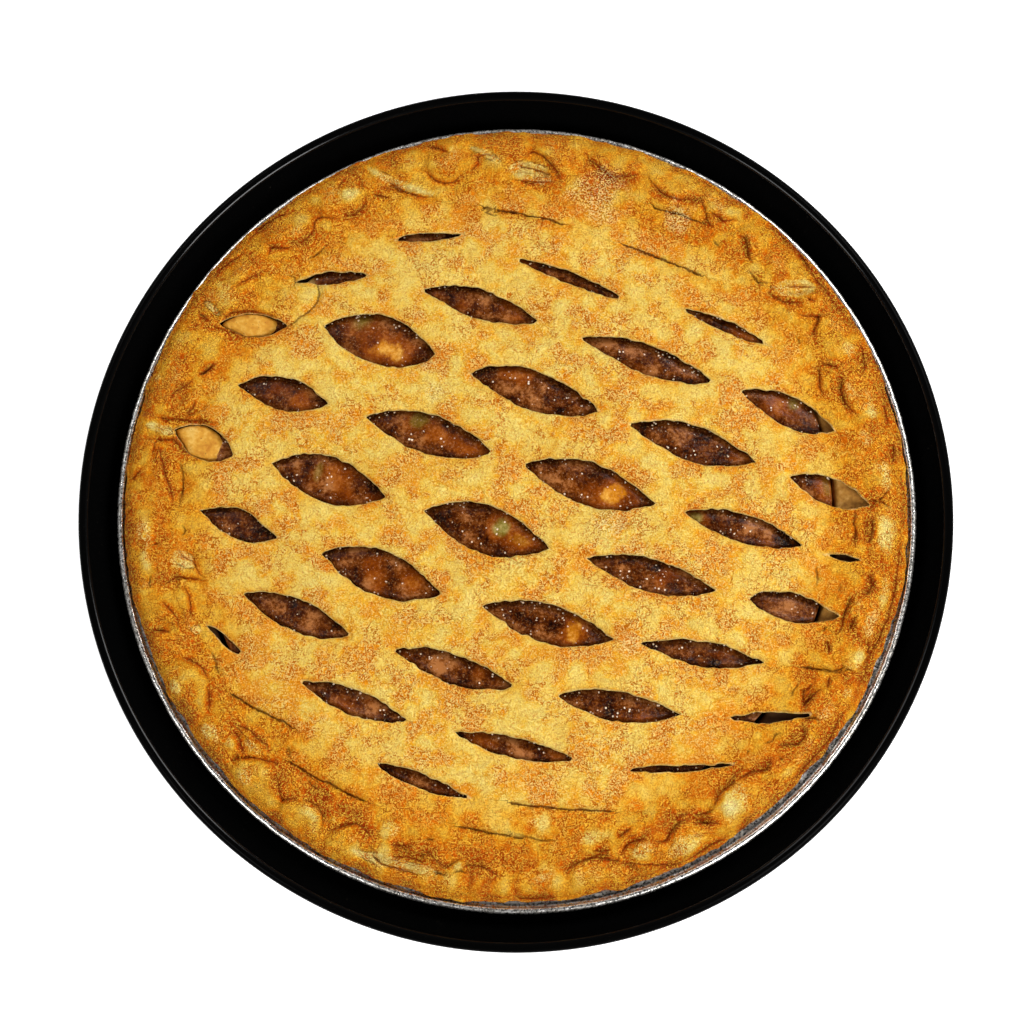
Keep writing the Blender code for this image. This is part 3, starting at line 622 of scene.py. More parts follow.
def crustRelief(x, y):
    # the height of the baked top and how brown it is, from 0 pale to 1 dark
    radius, turn = fromCentre(x, y)
    height = domeHeight(radius) - crust["settle"]
    rim = smooth(radius, 94, 105)
    # soft lumps of dough, then the flaky skin: small lumps, and plates with grooves between them
    bent = x + 1.2 * swell(x, y, 3.5, 43), y + 1.2 * swell(x, y, 3.5, 44)
    crazed = 0.1 + 0.3 * smooth(layered(x, y, 9, 41, 3), -0.4, 0.4)
    crazed = np.maximum(crazed, smooth(radius + 3 * swell(x, y, 16, 47), 92, 104))
    plates = smooth(cracks(*bent, 3.0, 45), 0, 0.4)
    small = layered(x, y, 2.8, 5, 2)
    tone = smooth(layered(x, y, 5.5, 81, 4, 0.55), -0.45, 0.45) - 0.5
    height += (0.09 + 0.15 * rim) * small + (0.05 + 0.12 * rim) * (plates - 1)
    height += 0.25 * swell(x, y, 27, 1) * (1 - 0.5 * rim) + (0.2 + 0.2 * rim) * layered(x, y, 10, 2, 3)
    brown = 0.42 + 0.16 * smooth(radius + 6 * layered(x, y, 18, 9, 2), 84, 104)
    brown += 0.04 * layered(x, y, 15, 11, 3)
    # painted shade and highlight: the dough is painted browner where the small lumps dip and paler where they
    # rise
    brown -= 0.05 * small * (1 + rim)
    brown += 0.05 * smooth(radius, 106, 112)
    # lips of the open cuts roll down, and the dough stands up between the cuts
    space = openSpace(x, y)
    height += 0.5 * (1 - fade(space, 4)) - 0.4 * fade(space, 0.6)
    brown += 0.12 * fade(space, 2) * smooth(swell(x, y, 9, 49), -0.3, 0.5)
    # closed cuts and torn lines are grooves, with the dough a little browner below the cuts
    tear, side = shutSpace(x, y)
    brown += 0.1 * np.where(side > 0, np.exp(-tear / 7), 0) * smooth(radius, 80, 92)
    height += 0.6 * np.where(side < 0, np.exp(-tear / 3), 0)
    other, strength = nearestStroke(x, y, crust["tears"])
    closer = np.abs(other) < tear
    tear, power = np.where(closer, other, tear * side), np.where(closer, 0.8 * strength, 1.0)
    tear = tear + 0.5 * layered(x, y, 5, 48, 4, 0.6)
    height -= lattice["groove"] * power * bell(tear, 0.6)
    # petals of the crimp stand up past a crease, with valleys between them out to the edge
    outward, part, valley, own = petalShape(x, y, radius, turn)
    calm = (1 - 0.5 * smooth(np.cos(turn - math.radians(172)), 0.8, 0.95)) * smooth(radius, 100, 104)
    petal = 1 - fade(outward, 1.2)
    bank = 0.35 * (1 - fade(-outward, 2.5))
    height += crust["petalHeight"] * calm * (petal + bank - 0.5 - 0.5 * valley)
    # below each crease, in the valleys between petals and along the crease the dough is painted browner:
    # partly real browning and partly painted shade
    below = np.where(outward < 0, fade(-outward, 3), 0) * (0.3 + 0.7 * part * part)
    brown += calm * (0.1 * below + 0.08 * valley + 0.04 * bell(outward, 0.9))
    shown = petal * (1 - valley) * smooth(outward, 0, 3) * (1 - smooth(radius, 115, 118))
    shown = shown * smooth(layered(x, y, 6, 26, 2) + 0.5 * own, -0.3, 0.5)
    brown -= 0.1 * calm * shown
    pale = 0.3 * shown * (0.3 + 0.7 * own) + 0.2 * layered(x, y, 13, 25, 2)
    # folds: a groove, with the dough outside it standing above the dough inside it; the groove and the dough
    # just inside it are painted browner, partly browning and partly painted shade
    outer = radius > 88
    fold, folded = np.full(x.shape, farAway), np.zeros(x.shape)
    fold[outer], folded[outer] = nearestStroke(x[outer], y[outer], crust["folds"])
    fold = fold + 0.35 * layered(x, y, 4, 33, 3)
    beyond = np.abs(fold)
    step = np.tanh(-fold / 0.7) * fade(beyond, 3.5)
    height += folded * (step - 0.8 * bell(fold, 0.5))
    inner = np.where(fold > 0, fade(beyond, 3), 0)
    brown += folded * (0.14 * bell(beyond, 1.3) + 0.1 * inner)
    for degrees, reach, long, tall, much in crust["baked"]:
        away = np.mod(turn - math.radians(degrees) + math.pi, whole) - math.pi
        far = np.hypot(away * reach / long, (radius - reach) / tall) + 0.5 * layered(x, y, 4, 34, 4)
        patch = 1 - smooth(far, 0.4, 1.3)
        brown += much * patch
        pale = pale - 0.8 * min(much, 0) * patch
        height -= 2.0 * min(much, 0) * patch
    # the last of the edge is browner, with a thin lip outside a groove on the front right
    inside = edgeRadius(turn) - radius
    brown += 0.16 * (1 - smooth(inside, 0.6, 3.2)) * smooth(layered(x, y, 9, 27, 2), -0.5, 0.3)
    lipped = smooth(np.cos(turn + math.radians(45)), 0.45, 0.7)
    lipped = np.maximum(lipped, smooth(swell(*onCircle(turn), 15, 28), 0, 0.4))
    hem = inside - 1.3 + 0.4 * swell(x, y, 5, 29)
    height -= 0.7 * lipped * bell(hem, 0.5)
    # straps of paler dough lie a little lower
    strap = np.full(x.shape, 9.0)
    for half, *points in crust["straps"]:
        far, strength = strokeSpace(x, y, points)
        strap = np.minimum(strap, np.abs(far) - half * (0.3 + 0.9 * strength))
    strap = strap + 0.8 * layered(x, y, 6, 30, 3)
    within = 1 - smooth(strap, -0.6, 0.3)
    height -= 0.5 * within + 0.5 * bell(strap, 0.5)
    brown += (0.3 - brown) * 0.8 * within
    marks = {"browning": np.clip(brown, 0, 1), "crazing": crazed, "pale": np.maximum(pale, within),
             "tone": tone, "hue": smooth(layered(x, y, 4.5, 82, 3, 0.55), -0.45, 0.45) - 0.5,
             "space": np.clip(space, 0, 5), "tear": np.clip(tear, -4, 4), "tearPower": power,
             "crease": np.where(calm > 0, np.clip(outward, -4, 4), -4),
             "creasePower": calm * (0.5 + 0.5 * own),
             "fold": np.clip(fold, -4, 4), "foldPower": folded,
             "hem": np.clip(hem, -4, 4), "hemPower": lipped, "strap": np.clip(strap, -4, 4), "flour": 0 * x}
    for right, back, size in crust["floury"]:
        far = np.hypot(x - right, y - back) / size + 0.5 * layered(x, y, 4, 59, 2)
        marks["flour"] = np.maximum(marks["flour"], 0.5 * (1 - smooth(far, 0.3, 1)))
    most, ease = crust["topMost"], crust["topEase"]
    over = np.maximum(height - most, 0)
    return np.minimum(height, most) + ease * (1 - np.exp(-over / ease)), marks


def underHeight(x, y):
    # the underside follows the dome, rests on the case's lip, and reaches down past it
    radius = fromCentre(x, y)[0]
    sheet = np.maximum(domeHeight(radius) - crust["thick"] - 0.2, crust["rest"])
    return np.where(radius > crust["caseEdge"], crust["foot"], sheet)


def discGrid(count):
    # a square grid bent to a disc: |a| > |b| gives radius a and turn 45 b/a degrees, and so on round
    side = np.linspace(-1, 1, count + 1)
    a, b = np.meshgrid(side, side, indexing="ij")
    wide = np.abs(a) > np.abs(b)
    radius = np.where(wide, a, b)
    safe = np.where(radius == 0, 1, radius)
    turn = np.where(wide, math.pi / 4 * b / safe, quarter - math.pi / 4 * a / safe)
    return radius * np.cos(turn), radius * np.sin(turn)


def snapToCuts(x, y):
    # of each grid edge that crosses a cut's outline, the nearer end is moved onto it
    space = openSpace(x, y)
    near = np.zeros(space.shape, bool)
    for first, second in (((slice(None, -1), slice(None)), (slice(1, None), slice(None))),
                          ((slice(None), slice(None, -1)), (slice(None), slice(1, None)))):
        a, b = space[first], space[second]
        crossing = (a < 0) != (b < 0)
        near[first] |= crossing & (np.abs(a) <= np.abs(b))
        near[second] |= crossing & (np.abs(a) > np.abs(b))
    for _ in range(3):
        px, py = x[near], y[near]
        here = openSpace(px, py)
        right = (openSpace(px + 0.05, py) - here) / 0.05
        up = (openSpace(px, py + 0.05) - here) / 0.05
        pull = np.clip(here / np.maximum(right * right + up * up, 0.2), -0.5, 0.5)
        x[near], y[near] = px - pull * right, py - pull * up
    state = np.sign(space)
    state[near] = 0
    return state


def keptFaces(state, x, y):
    # quads off the cuts, and the outer half of each quad whose diagonal lies on an outline
    count = state.shape[0]
    index = np.arange(count * count).reshape(count, count)
    corners = np.stack([index[:-1, :-1], index[1:, :-1], index[1:, 1:], index[:-1, 1:]], -1).reshape(-1, 4)
    signs = state.ravel()[corners]
    inside, outside = (signs < 0).any(1), (signs > 0).any(1)
    flat = ~inside & ~outside
    middle = openSpace(x.ravel()[corners].mean(1), y.ravel()[corners].mean(1))
    quads = corners[(~inside & outside) | (flat & (middle > 0))]
    halves = []
    for turn in range(4):
        a = np.roll(corners, -turn, 1)
        s = np.roll(signs, -turn, 1)
        split = (s[:, 0] > 0) & (s[:, 1] == 0) & (s[:, 3] == 0) & (s[:, 2] < 0)
        halves.append(a[split][:, [0, 1, 3]])
    return quads, np.concatenate(halves)


def rimEdges(quads, triangles):
    # directed edges that only one face uses
    edges = np.concatenate([faces[:, [i, (i + 1) % sides]]
                            for faces, sides in ((quads, 4), (triangles, 3)) for i in range(sides)])
    key = np.sort(edges, 1)
    _, back, uses = np.unique(key[:, 0] * 10000000 + key[:, 1], return_inverse=True, return_counts=True)
    return edges[uses[back] == 1]


def withinEdges(places, edges):
    # a place is in the dough if a level line to its right crosses an odd number of edges
    found = []
    for part in np.array_split(places, 60):
        x, y = part[:, :1], part[:, 1:]
        (ax, ay), (bx, by) = edges[:, 0].T, edges[:, 1].T
        rise = np.where(by == ay, 1, by - ay)
        crossed = ((ay > y) != (by > y)) & (ax + (y - ay) * (bx - ax) / rise > x)
        found.append(crossed.sum(1) % 2 == 1)
    return np.concatenate(found)


def crustMaterial():
    paint = Paint("bakedCrust")
    brown, patch, pale, side = [paint.mark(name) for name in ("browning", "crazing", "pale", "cutSide")]
    tone, hue, space, strap, flour = [paint.mark(name) for name in ("tone", "hue", "space", "strap", "flour")]
    # grains and fine grit, and a warped net of torn lines with lifted edges in the browner patches; the
    # lifted edges and the lightest grit carry a painted highlight
    waver = paint.add("ShaderNodeTexNoise", {}, {
        "Vector": paint.place, "Scale": 1 / (1.3 * mm), "Detail": 1.0, "Roughness": 0.5}, output="Color")
    bent = paint.add("ShaderNodeVectorMath", {"operation": "MULTIPLY_ADD"}, {
        0: waver, 1: (2.8 * mm, 2.8 * mm, 2.8 * mm), 2: paint.place})
    net = paint.add("ShaderNodeTexVoronoi", {"feature": "DISTANCE_TO_EDGE"},
                    {"Vector": bent, "Scale": 1 / (2.5 * mm)})
    coarse, fine = paint.noise(1.1, 2, 0.55, seed=3), paint.noise(0.5, 1, 0.6, seed=5)
    grain = paint.rise(coarse, 0.36, 0.64) - 0.5
    grit = paint.rise(fine, 0.37, 0.63) - 0.5
    spot = 0.8 * tone + 0.5 * hue + 0.25 * patch
    where = 0.35 + 0.65 * paint.rise(spot, -0.05, 0.35)
    torn = net + 0.2 * (fine - 0.5)
    line = (1 - paint.rise(torn, 0.012, 0.06)) * where
    liftedHighlight = (paint.rise(torn, 0.05, 0.09) - paint.rise(torn, 0.12, 0.2)) * where
    curl = (1 - paint.rise(abs(coarse - 0.5), 0.003, 0.022)) * paint.rise(spot, -0.05, 0.35)
    wander = tone + 0.6 * grain + 0.3 * grit

    def stroke(name, wide, soft):
        return 1 - paint.rise(abs(paint.mark(name) + 0.3 * wander), wide, wide + soft)

    tears = stroke("tear", 0.1, 0.4) * paint.mark("tearPower")
    # the crease lines are painted darker: partly browning and partly painted shade
    creases = stroke("crease", 0.05, 0.7) * paint.mark("creasePower") * paint.rise(tone, -0.35, 0.3)
    # painted shade and browning: a dark line and a soft darker band along each fold
    folds = stroke("fold", 0.02, 0.45) * paint.mark("foldPower")
    band = stroke("fold", 0.1, 1.5) * paint.mark("foldPower")
    hems = stroke("hem", 0.1, 0.4) * paint.mark("hemPower") * paint.rise(tone, -0.35, 0.2)
    shade = brown + 0.1 * tone + 0.3 * hue + 0.08 * grain + 0.07 * grit
    shade = shade + 0.1 * creases + 0.3 * hems + 0.2 * band
    colour = paint.mix(paint.clamped(0.12 + 0.6 * pale - 0.8 * hue), paint.ramp(shade, [
        (0.0, (255, 232, 122)), (0.16, (255, 218, 90)), (0.3, (255, 208, 68)), (0.42, (252, 186, 42)),
        (0.55, (243, 154, 18)), (0.68, (234, 124, 2)), (0.83, (214, 90, 0)), (1.0, (160, 52, 0))]),
        paint.ramp(shade, [
            (0.0, (255, 240, 168)), (0.16, (252, 228, 136)), (0.3, (246, 208, 104)), (0.42, (238, 188, 76)),
            (0.55, (236, 162, 32)), (0.7, (228, 130, 8)), (0.85, (208, 94, 0)), (1.0, (156, 52, 0))]))
    dark = paint.mix(paint.rise(brown, 0.35, 0.75), rgb(214, 106, 2), rgb(176, 64, 0))
    # the tint of the painted highlights, yellower where the dough is paler and more orange where it is
    # browner
    highlightTint = paint.mix(paint.rise(brown, 0.35, 0.62), rgb(255, 238, 148), rgb(255, 202, 66))
    bits = grit + 0.3 * grain
    outline = (1 - paint.rise(abs(strap + 0.4 * wander), 0.05, 0.4)) * paint.rise(tone, -0.2, 0.3)
    cream = paint.mix(grain + 0.5, rgb(222, 172, 78), rgb(252, 224, 150))
    colour = paint.over(colour, (
        # painted highlight on the lifted edges and on the lightest grit
        (line * 0.85, dark), (curl * 0.6, dark), (liftedHighlight * 0.55, highlightTint),
        (paint.rise(bits, 0.3, 0.42) * 0.5, highlightTint),
        ((1 - paint.rise(bits, -0.5, -0.34)) * (0.2 + 0.5 * where), dark),
        (folds * 0.85, rgb(130, 44, 0)), (tears * 0.85, rgb(82, 34, 4)), (outline * 0.6, rgb(120, 60, 8)),
        # the lips of the cuts, their walls, then flour with dark bits in it
        ((1 - paint.rise(space + 0.3 * wander, 0.05, 0.35)) * 0.6, cream), (side, cream),
        (flour * paint.rise(bits, -0.05, 0.2), rgb(255, 232, 158)),
        (flour * (1 - paint.rise(bits, -0.5, -0.3)) * 0.6, rgb(110, 52, 4))))
    relief = 0.35 * grain + (0.5 + 0.4 * patch) * grit - 0.7 * line
    return paint.finish(colour, 0.5, {"Specular IOR Level": 0.06}, paint.bump(relief, 0.5))


def makeCrust():
    rings = crust["cells"] // 2
    x, y = discGrid(crust["cells"])
    reach, turn = np.hypot(x, y), np.arctan2(y, x) + lattice["turn"]
    share = 1 - crust["noseRings"] / rings
    bend = np.clip((reach - share) / (1 - share), 0, 1) * quarter
    edge = edgeRadius(turn)
    radius = np.minimum(reach / share, 1) * (edge - crust["nose"]) + crust["nose"] * np.sin(bend)
    x, y = aboutCentre(radius, turn)
    state = snapToCuts(x, y)
    height, marks = crustRelief(x, y)
    height = crust["foot"] + (height - crust["foot"]) * np.cos(bend)
    quads, triangles = keptFaces(state, x, y)
    points = np.stack([x.ravel(), y.ravel(), height.ravel()], 1)
    marks = {name: values.ravel() for name, values in marks.items()}
    marks["cutSide"] = np.zeros(len(points))

    # walls go down from every open edge, a little undercut, to the underside
    edges = rimEdges(quads, triangles)
    upper = np.unique(edges)
    far, way = fromCentre(points[upper, 0], points[upper, 1])
    outer = far > crust["outerFrom"]
    px, py = points[upper, 0], points[upper, 1]
    right = np.where(outer, -np.cos(way), (openSpace(px + 0.1, py) - openSpace(px - 0.1, py)) / 0.2)
    up = np.where(outer, -np.sin(way), (openSpace(px, py + 0.1) - openSpace(px, py - 0.1)) / 0.2)
    long = np.maximum(np.hypot(right, up), 0.3)
    layers, order = [upper], np.zeros(len(points), int)
    order[upper] = np.arange(len(upper))
    allPoints, start = [points], len(points)
    extra = {name: [values] for name, values in marks.items()}
    for down, inset in crust["walls"]:
        inset = np.where(outer, crust["outerLean"] * down, inset)
        qx, qy = px + inset * right / long, py + inset * up / long
        low = np.where(outer, crust["foot"] - crust["sole"], underHeight(qx, qy))
        tall = points[upper, 2] + (low - points[upper, 2]) * down
        allPoints.append(np.stack([qx, qy, tall], 1))
        layers.append(start + np.arange(len(upper)))
        start += len(upper)
        for name, values in extra.items():
            values.append(np.where(outer, marks[name][upper], 0.2 if name == "browning" else 0))
        extra["cutSide"][-1] = np.where(outer, 0, 1.0)
    walls = []
    for above, below in zip(layers, layers[1:]):
        a, b = order[edges[:, 0]], order[edges[:, 1]]
        walls.append(np.stack([above[b], above[a], below[a], below[b]], 1))
    # the underside is stitched across the lowest ring, with a few rings of points of its own
    ring = allPoints[-1]
    spare = []
    for radius in crust["underRings"]:
        around = np.linspace(0, whole, int(radius * crust["underCount"]), endpoint=False)
        spare.append(np.stack(aboutCentre(radius, around), 1))
    spare = np.concatenate(spare)
    spare = spare[openSpace(spare[:, 0], spare[:, 1]) > crust["underRoom"]]
    flat = np.concatenate([ring[:, :2], spare])
    rim = np.stack([order[edges[:, 1]], order[edges[:, 0]]], 1).tolist()
    stitched = delaunay_2d_cdt([Vector(p) for p in flat.tolist()], rim, [], 0, 1e-5)
    source = [found[0] if found else -1 for found in stitched[3]]
    placed = np.array([tuple(p) for p in stitched[0]])
    under = np.array(stitched[2])
    under = under[withinEdges(placed[under].mean(1), flat[rim])]
    names = np.array([start - len(upper) + s if 0 <= s < len(upper) else -1 for s in source])
    fresh = names < 0
    names[fresh] = start + np.arange(fresh.sum())
    lowest = underHeight(placed[fresh, 0], placed[fresh, 1])
    allPoints.append(np.column_stack([placed[fresh], lowest]))
    for name, values in extra.items():
        values.append(np.full(fresh.sum(), 0.2))
    under = names[under[:, ::-1]]

    points = np.concatenate(allPoints)
    faces = quads.tolist() + triangles.tolist() + np.concatenate(walls).tolist() + under.tolist()
    used = np.unique(np.concatenate([np.ravel(face) for face in faces]))
    renamed = np.zeros(len(points), int)
    renamed[used] = np.arange(len(used))
    lookup = renamed.tolist()
    faces = [[lookup[i] for i in face] for face in faces]
    marks = {name: np.concatenate(values)[used] for name, values in extra.items()}
    item = makePiece(
        "latticeCrust", points[used], faces, crustMaterial(), marks, crust["sharpFrom"])
    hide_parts("lattice_crust")


makeCrust()

filling = {
    "cells": 250, "radius": 96.6, "below": 2.9,
    # radius and height of the rings below the top, down to the case's floor
    "rings": ((96.6, 34.0), (88.2, 28.5), (87.0, 26), (82.5, 12.9)),
    # pieces of apple seen in the cuts: kind, right, back, length, width, turn, strength, softness of edge
    "chunks": (
        ("amber", 30, 4.5, 8.5, 7.5, 30, 1.0, 0.25), ("amber", 23, 6, 11, 8, 0, 0.35, 0.6),
        ("green", -4.5, -6, 7, 6, 60, 0.9, 0.4), ("amber", 1.5, -10.2, 11, 6, -10, 0.6, 0.25),
        ("green", 1.5, -10.2, 11, 6, -10, 0.35, 0.4),
        ("amber", 17.3, -37.7, 6, 10, -10, 0.75, 0.25), ("amber", -11, -49.5, 5, 4, 0, 0.5, 0.4),
        ("green", -29.3, 27, 8, 7, 40, 0.6, 0.4), ("green", 54.7, -2.4, 7, 4, -20, 0.7, 0.3),
        ("amber", -39.5, 49.8, 14, 8, -25, 0.95, 0.3), ("green", -47.2, 59, 9, 6, 20, 0.65, 0.5),
        ("amber", 80.3, 33, 9, 7, 20, 0.55, 0.4), ("green", 85, 33.8, 5, 8, -10, 0.6, 0.35),
        ("amber", 94.5, 8, 5, 9, 10, 0.6, 0.3), ("green", 95, 8, 3, 9, 10, 0.5, 0.3),
        ("amber", -51, 11, 9, 8, 0, 0.3, 0.5), ("green", -60, 12, 4, 9, -20, 0.45, 0.4),
        ("amber", -31, -22, 8, 8, 20, 0.5, 0.3), ("amber", 2, 45, 8, 4, 0, 0.4, 0.5),
        ("amber", -52, -60, 8, 5, -20, 0.4, 0.5), ("amber", -73, 38, 7, 5, 0, 0.35, 0.5),
        ("dough", -64.5, 72.5, 7, 4, -20, 1, 0.4))}


def fillingTop(x, y):
    # a lumpy jelly under the dome that swells up a little in each open cut
    radius = fromCentre(x, y)[0]
    space = openSpace(x, y)
    height = domeHeight(radius) - crust["settle"] - filling["below"]
    height += 0.9 * smooth(-space, -1, 3) + 0.45 * layered(x, y, 14, 61, 2) + 0.3 * layered(x, y, 4.5, 64, 3)
    return height


def fillingMarks(points):
    # how much apple shows through the syrup, of each kind, and how near the wall of a cut is
    x, y = points[:, 0], points[:, 1]
    wobble = 0.5 * layered(x, y, 3.5, 66, 4, 0.65)
    shown = {"amber": 0.35 * smooth(layered(x, y, 11, 67, 3), 0.1, 0.55), "green": 0 * x, "dough": 0 * x}
    for kind, right, back, length, width, turned, strength, soft in filling["chunks"]:
        turned = math.radians(turned)
        u = ((x - right) * math.cos(turned) + (y - back) * math.sin(turned)) / (length / 2)
        v = ((y - back) * math.cos(turned) - (x - right) * math.sin(turned)) / (width / 2)
        far = (np.abs(u) ** 2.5 + np.abs(v) ** 2.5) ** 0.4 + wobble
        body = strength * (1 - smooth(far, 1 - 2 * soft, 1 + 0.6 * soft))
        halo = 0.4 * strength * (1 - smooth(far, 0.8, 1.9))
        shown[kind] = np.maximum(shown[kind], body)
        shown["amber"] = np.maximum(shown["amber"], halo)
    # the wall at the back of each cut throws the widest shade
    space = openSpace(x, y)
    back = smooth((openSpace(x - 0.4, y + 0.6) - space) / 0.7, -0.3, 0.9)
    shown["edge"] = fade(-space, 0.35 + 0.9 * back)
    return shown


def fillingMaterial():
    paint = Paint("appleSyrup")
    amber, green, edge = paint.mark("amber"), paint.mark("green"), paint.mark("edge")
    haze = paint.noise(7, 3, 0.6, seed=2)
    grain = paint.noise(0.9, 3, 0.7, seed=4)
    tone = 0.65 * haze + 0.35 * grain
    syrup = paint.ramp(tone, [
        (0.38, (24, 4, 0)), (0.46, (64, 22, 0)), (0.53, (104, 50, 10)), (0.62, (166, 104, 54))])
    apple, unripe, warm = [paint.ramp(tone, [*zip((0.34, 0.5, 0.66), tints)]) for tints in (
        ((140, 62, 2), (198, 122, 20), (238, 186, 84)), ((80, 60, 6), (118, 102, 34), (176, 160, 92)),
        ((86, 30, 0), (132, 60, 6), (172, 96, 28)))]
    froth = paint.noise(0.7, 2, 0.6, seed=6)
    glints = 1 - paint.rise(paint.cells(1.3, seed=8) + 0.5 * (froth - 0.5), 0.14, 0.28)
    glints = glints * paint.rise(paint.noise(3.2, 2, seed=9) + 0.1 * edge, 0.56, 0.61)
    colour = paint.over(syrup, (
        (paint.rise(amber, 0.0, 0.45), warm), (paint.rise(amber + 0.5 * (tone - 0.5), 0.4, 0.95), apple),
        (paint.rise(green + 0.5 * (tone - 0.5), 0.1, 0.9), unripe), (edge * 0.7, rgb(26, 8, 0)),
        (paint.rise(froth, 0.55, 0.72) * 0.3, rgb(190, 140, 90)),
        (paint.mark("dough"), paint.mix(tone, rgb(176, 140, 70), rgb(250, 222, 150))),
        (glints, rgb(250, 226, 196))))
    return paint.finish(colour, 0.2, {"Specular IOR Level": 0.15}, paint.bump(grain + 0.8 * glints, 0.22))


def makeFilling():
    x, y = discGrid(filling["cells"])
    x, y = x * filling["radius"], y * filling["radius"]
    height = fillingTop(x, y)
    count = filling["cells"] + 1
    index = np.arange(count * count).reshape(count, count)
    quads = np.stack([index[:-1, :-1], index[1:, :-1], index[1:, 1:], index[:-1, 1:]], -1).reshape(-1, 4)
    points = np.stack([x.ravel(), y.ravel(), height.ravel()], 1)
    border = np.concatenate([index[:-1, 0], index[-1, :-1], index[:0:-1, -1], index[0, :0:-1]])
    turn = np.arctan2(points[border, 1], points[border, 0])
    rings = [border]
    parts = [points]
    start = len(points)
    for radius, level in filling["rings"]:
        parts.append(np.stack([radius * np.cos(turn), radius * np.sin(turn), np.full(len(turn), level)], 1))
        rings.append(start + np.arange(len(turn)))
        start += len(turn)
    faces = quads.tolist()
    for above, below in zip(rings, rings[1:]):
        faces += np.stack([above, below, np.roll(below, -1), np.roll(above, -1)], 1).tolist()
    faces.append(rings[-1][::-1].tolist())
    points = np.concatenate(parts)
    item = makePiece("appleFilling", points, faces, fillingMaterial(), fillingMarks(points))
    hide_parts("apple_filling")


makeFilling()

case = {
    "steps": 300, "lumps": 0.35, "floor": 12.2, "base": 7.2, "under": 36.6,
    # the outer wall leans as the tin's does: radius at a height, and how much wider for each mm up
    "wall": (89.3, 6.3, 20.5 / 30),
    # the inside, the lip and its edge, as (radius, height, rounding)
    "inside": ((88.3, 12.2, 4), (99.5, 29.0, 3), (97.2, 34.5, 2), (97.6, 38.9, 1.6), (114.3, 39.1, 1.5),
               (114.4, 36.6, 0.8)),
    # the lip shows plain dough, without the painted shade and syrup stain, only near these turns, in degrees
    "plain": (4, -19, 21), "plainHalf": 8,
}


def pastryMaterial(name, tints):
    # patches and specks of dough, painted dark brown where the lip lies in shade under narrow cuts: painted
    # shade and syrup stain
    paint = Paint(name)
    patches, grain = paint.noise(7, 3), paint.noise(1.2, 3, seed=2)
    colour = paint.ramp(0.6 * patches + 0.4 * grain, [*zip((0.3, 0.5, 0.7), tints)])
    specks = paint.rise(paint.noise(0.7, 1, seed=4), 0.68, 0.74)
    colour = paint.over(colour, (
        (specks * 0.7, rgb(130, 80, 30)), (paint.mark("stained") * 0.9, rgb(44, 16, 2))))
    return paint.finish(colour, 0.7, {"Specular IOR Level": 0.3}, paint.bump(grain, 0.2))


def makeCase():
    start, low, slope = case["wall"]
    outer = [(start + (height - low) * slope, height, rounding)
             for height, rounding in ((case["under"], 0.8), (case["base"], 2))]
    line = roundedLine([(10, case["floor"], 0), *case["inside"], *outer, (10, case["base"], 0)], 5)
    turn, radius, height = carried(line, case["steps"])
    x, y = radius * np.cos(turn), radius * np.sin(turn)
    top = smooth(height, 30, 38)
    radius = radius - 0.5 * top * (radius < 104) * layered(x + height, y, 8, 71, 3)
    height = height - case["lumps"] * top * (0.5 + 0.5 * layered(x, y, 6, 74, 3)) * (radius < 112)
    points = turnedPoints(radius, height, (case["floor"], case["base"]))
    faces = turnedFaces(len(line), case["steps"])
    # painted shade and syrup stain over the lip, except near the plain turns
    stained = np.ones(case["steps"])
    for degrees in case["plain"]:
        away = np.abs(np.mod(np.degrees(turn) - degrees + 180, 360) - 180)
        stained = np.minimum(stained, smooth(away, case["plainHalf"] - 2, case["plainHalf"]))
    stained = np.concatenate([np.tile(stained, len(line)), [1, 1]])
    material = pastryMaterial("palePastry", ((130, 78, 20), (184, 130, 52), (222, 178, 100)))
    item = makePiece("pastryCase", points, faces, material, {"stained": stained})
    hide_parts("pastry_case")


makeCase()

risen = {
    # the outline is this far from the cut's, found by halving a reach of at most "reach"
    "rays": 96, "rings": 14, "low": 38.6, "top": 42.5, "within": 0.25, "reach": 30.0, "halvings": 18,
    # row and column of the cut, and how much of its right end stays open
    "cuts": (((-2, -2.0), 0.1), ((0, -2.0), 0.12)),
}


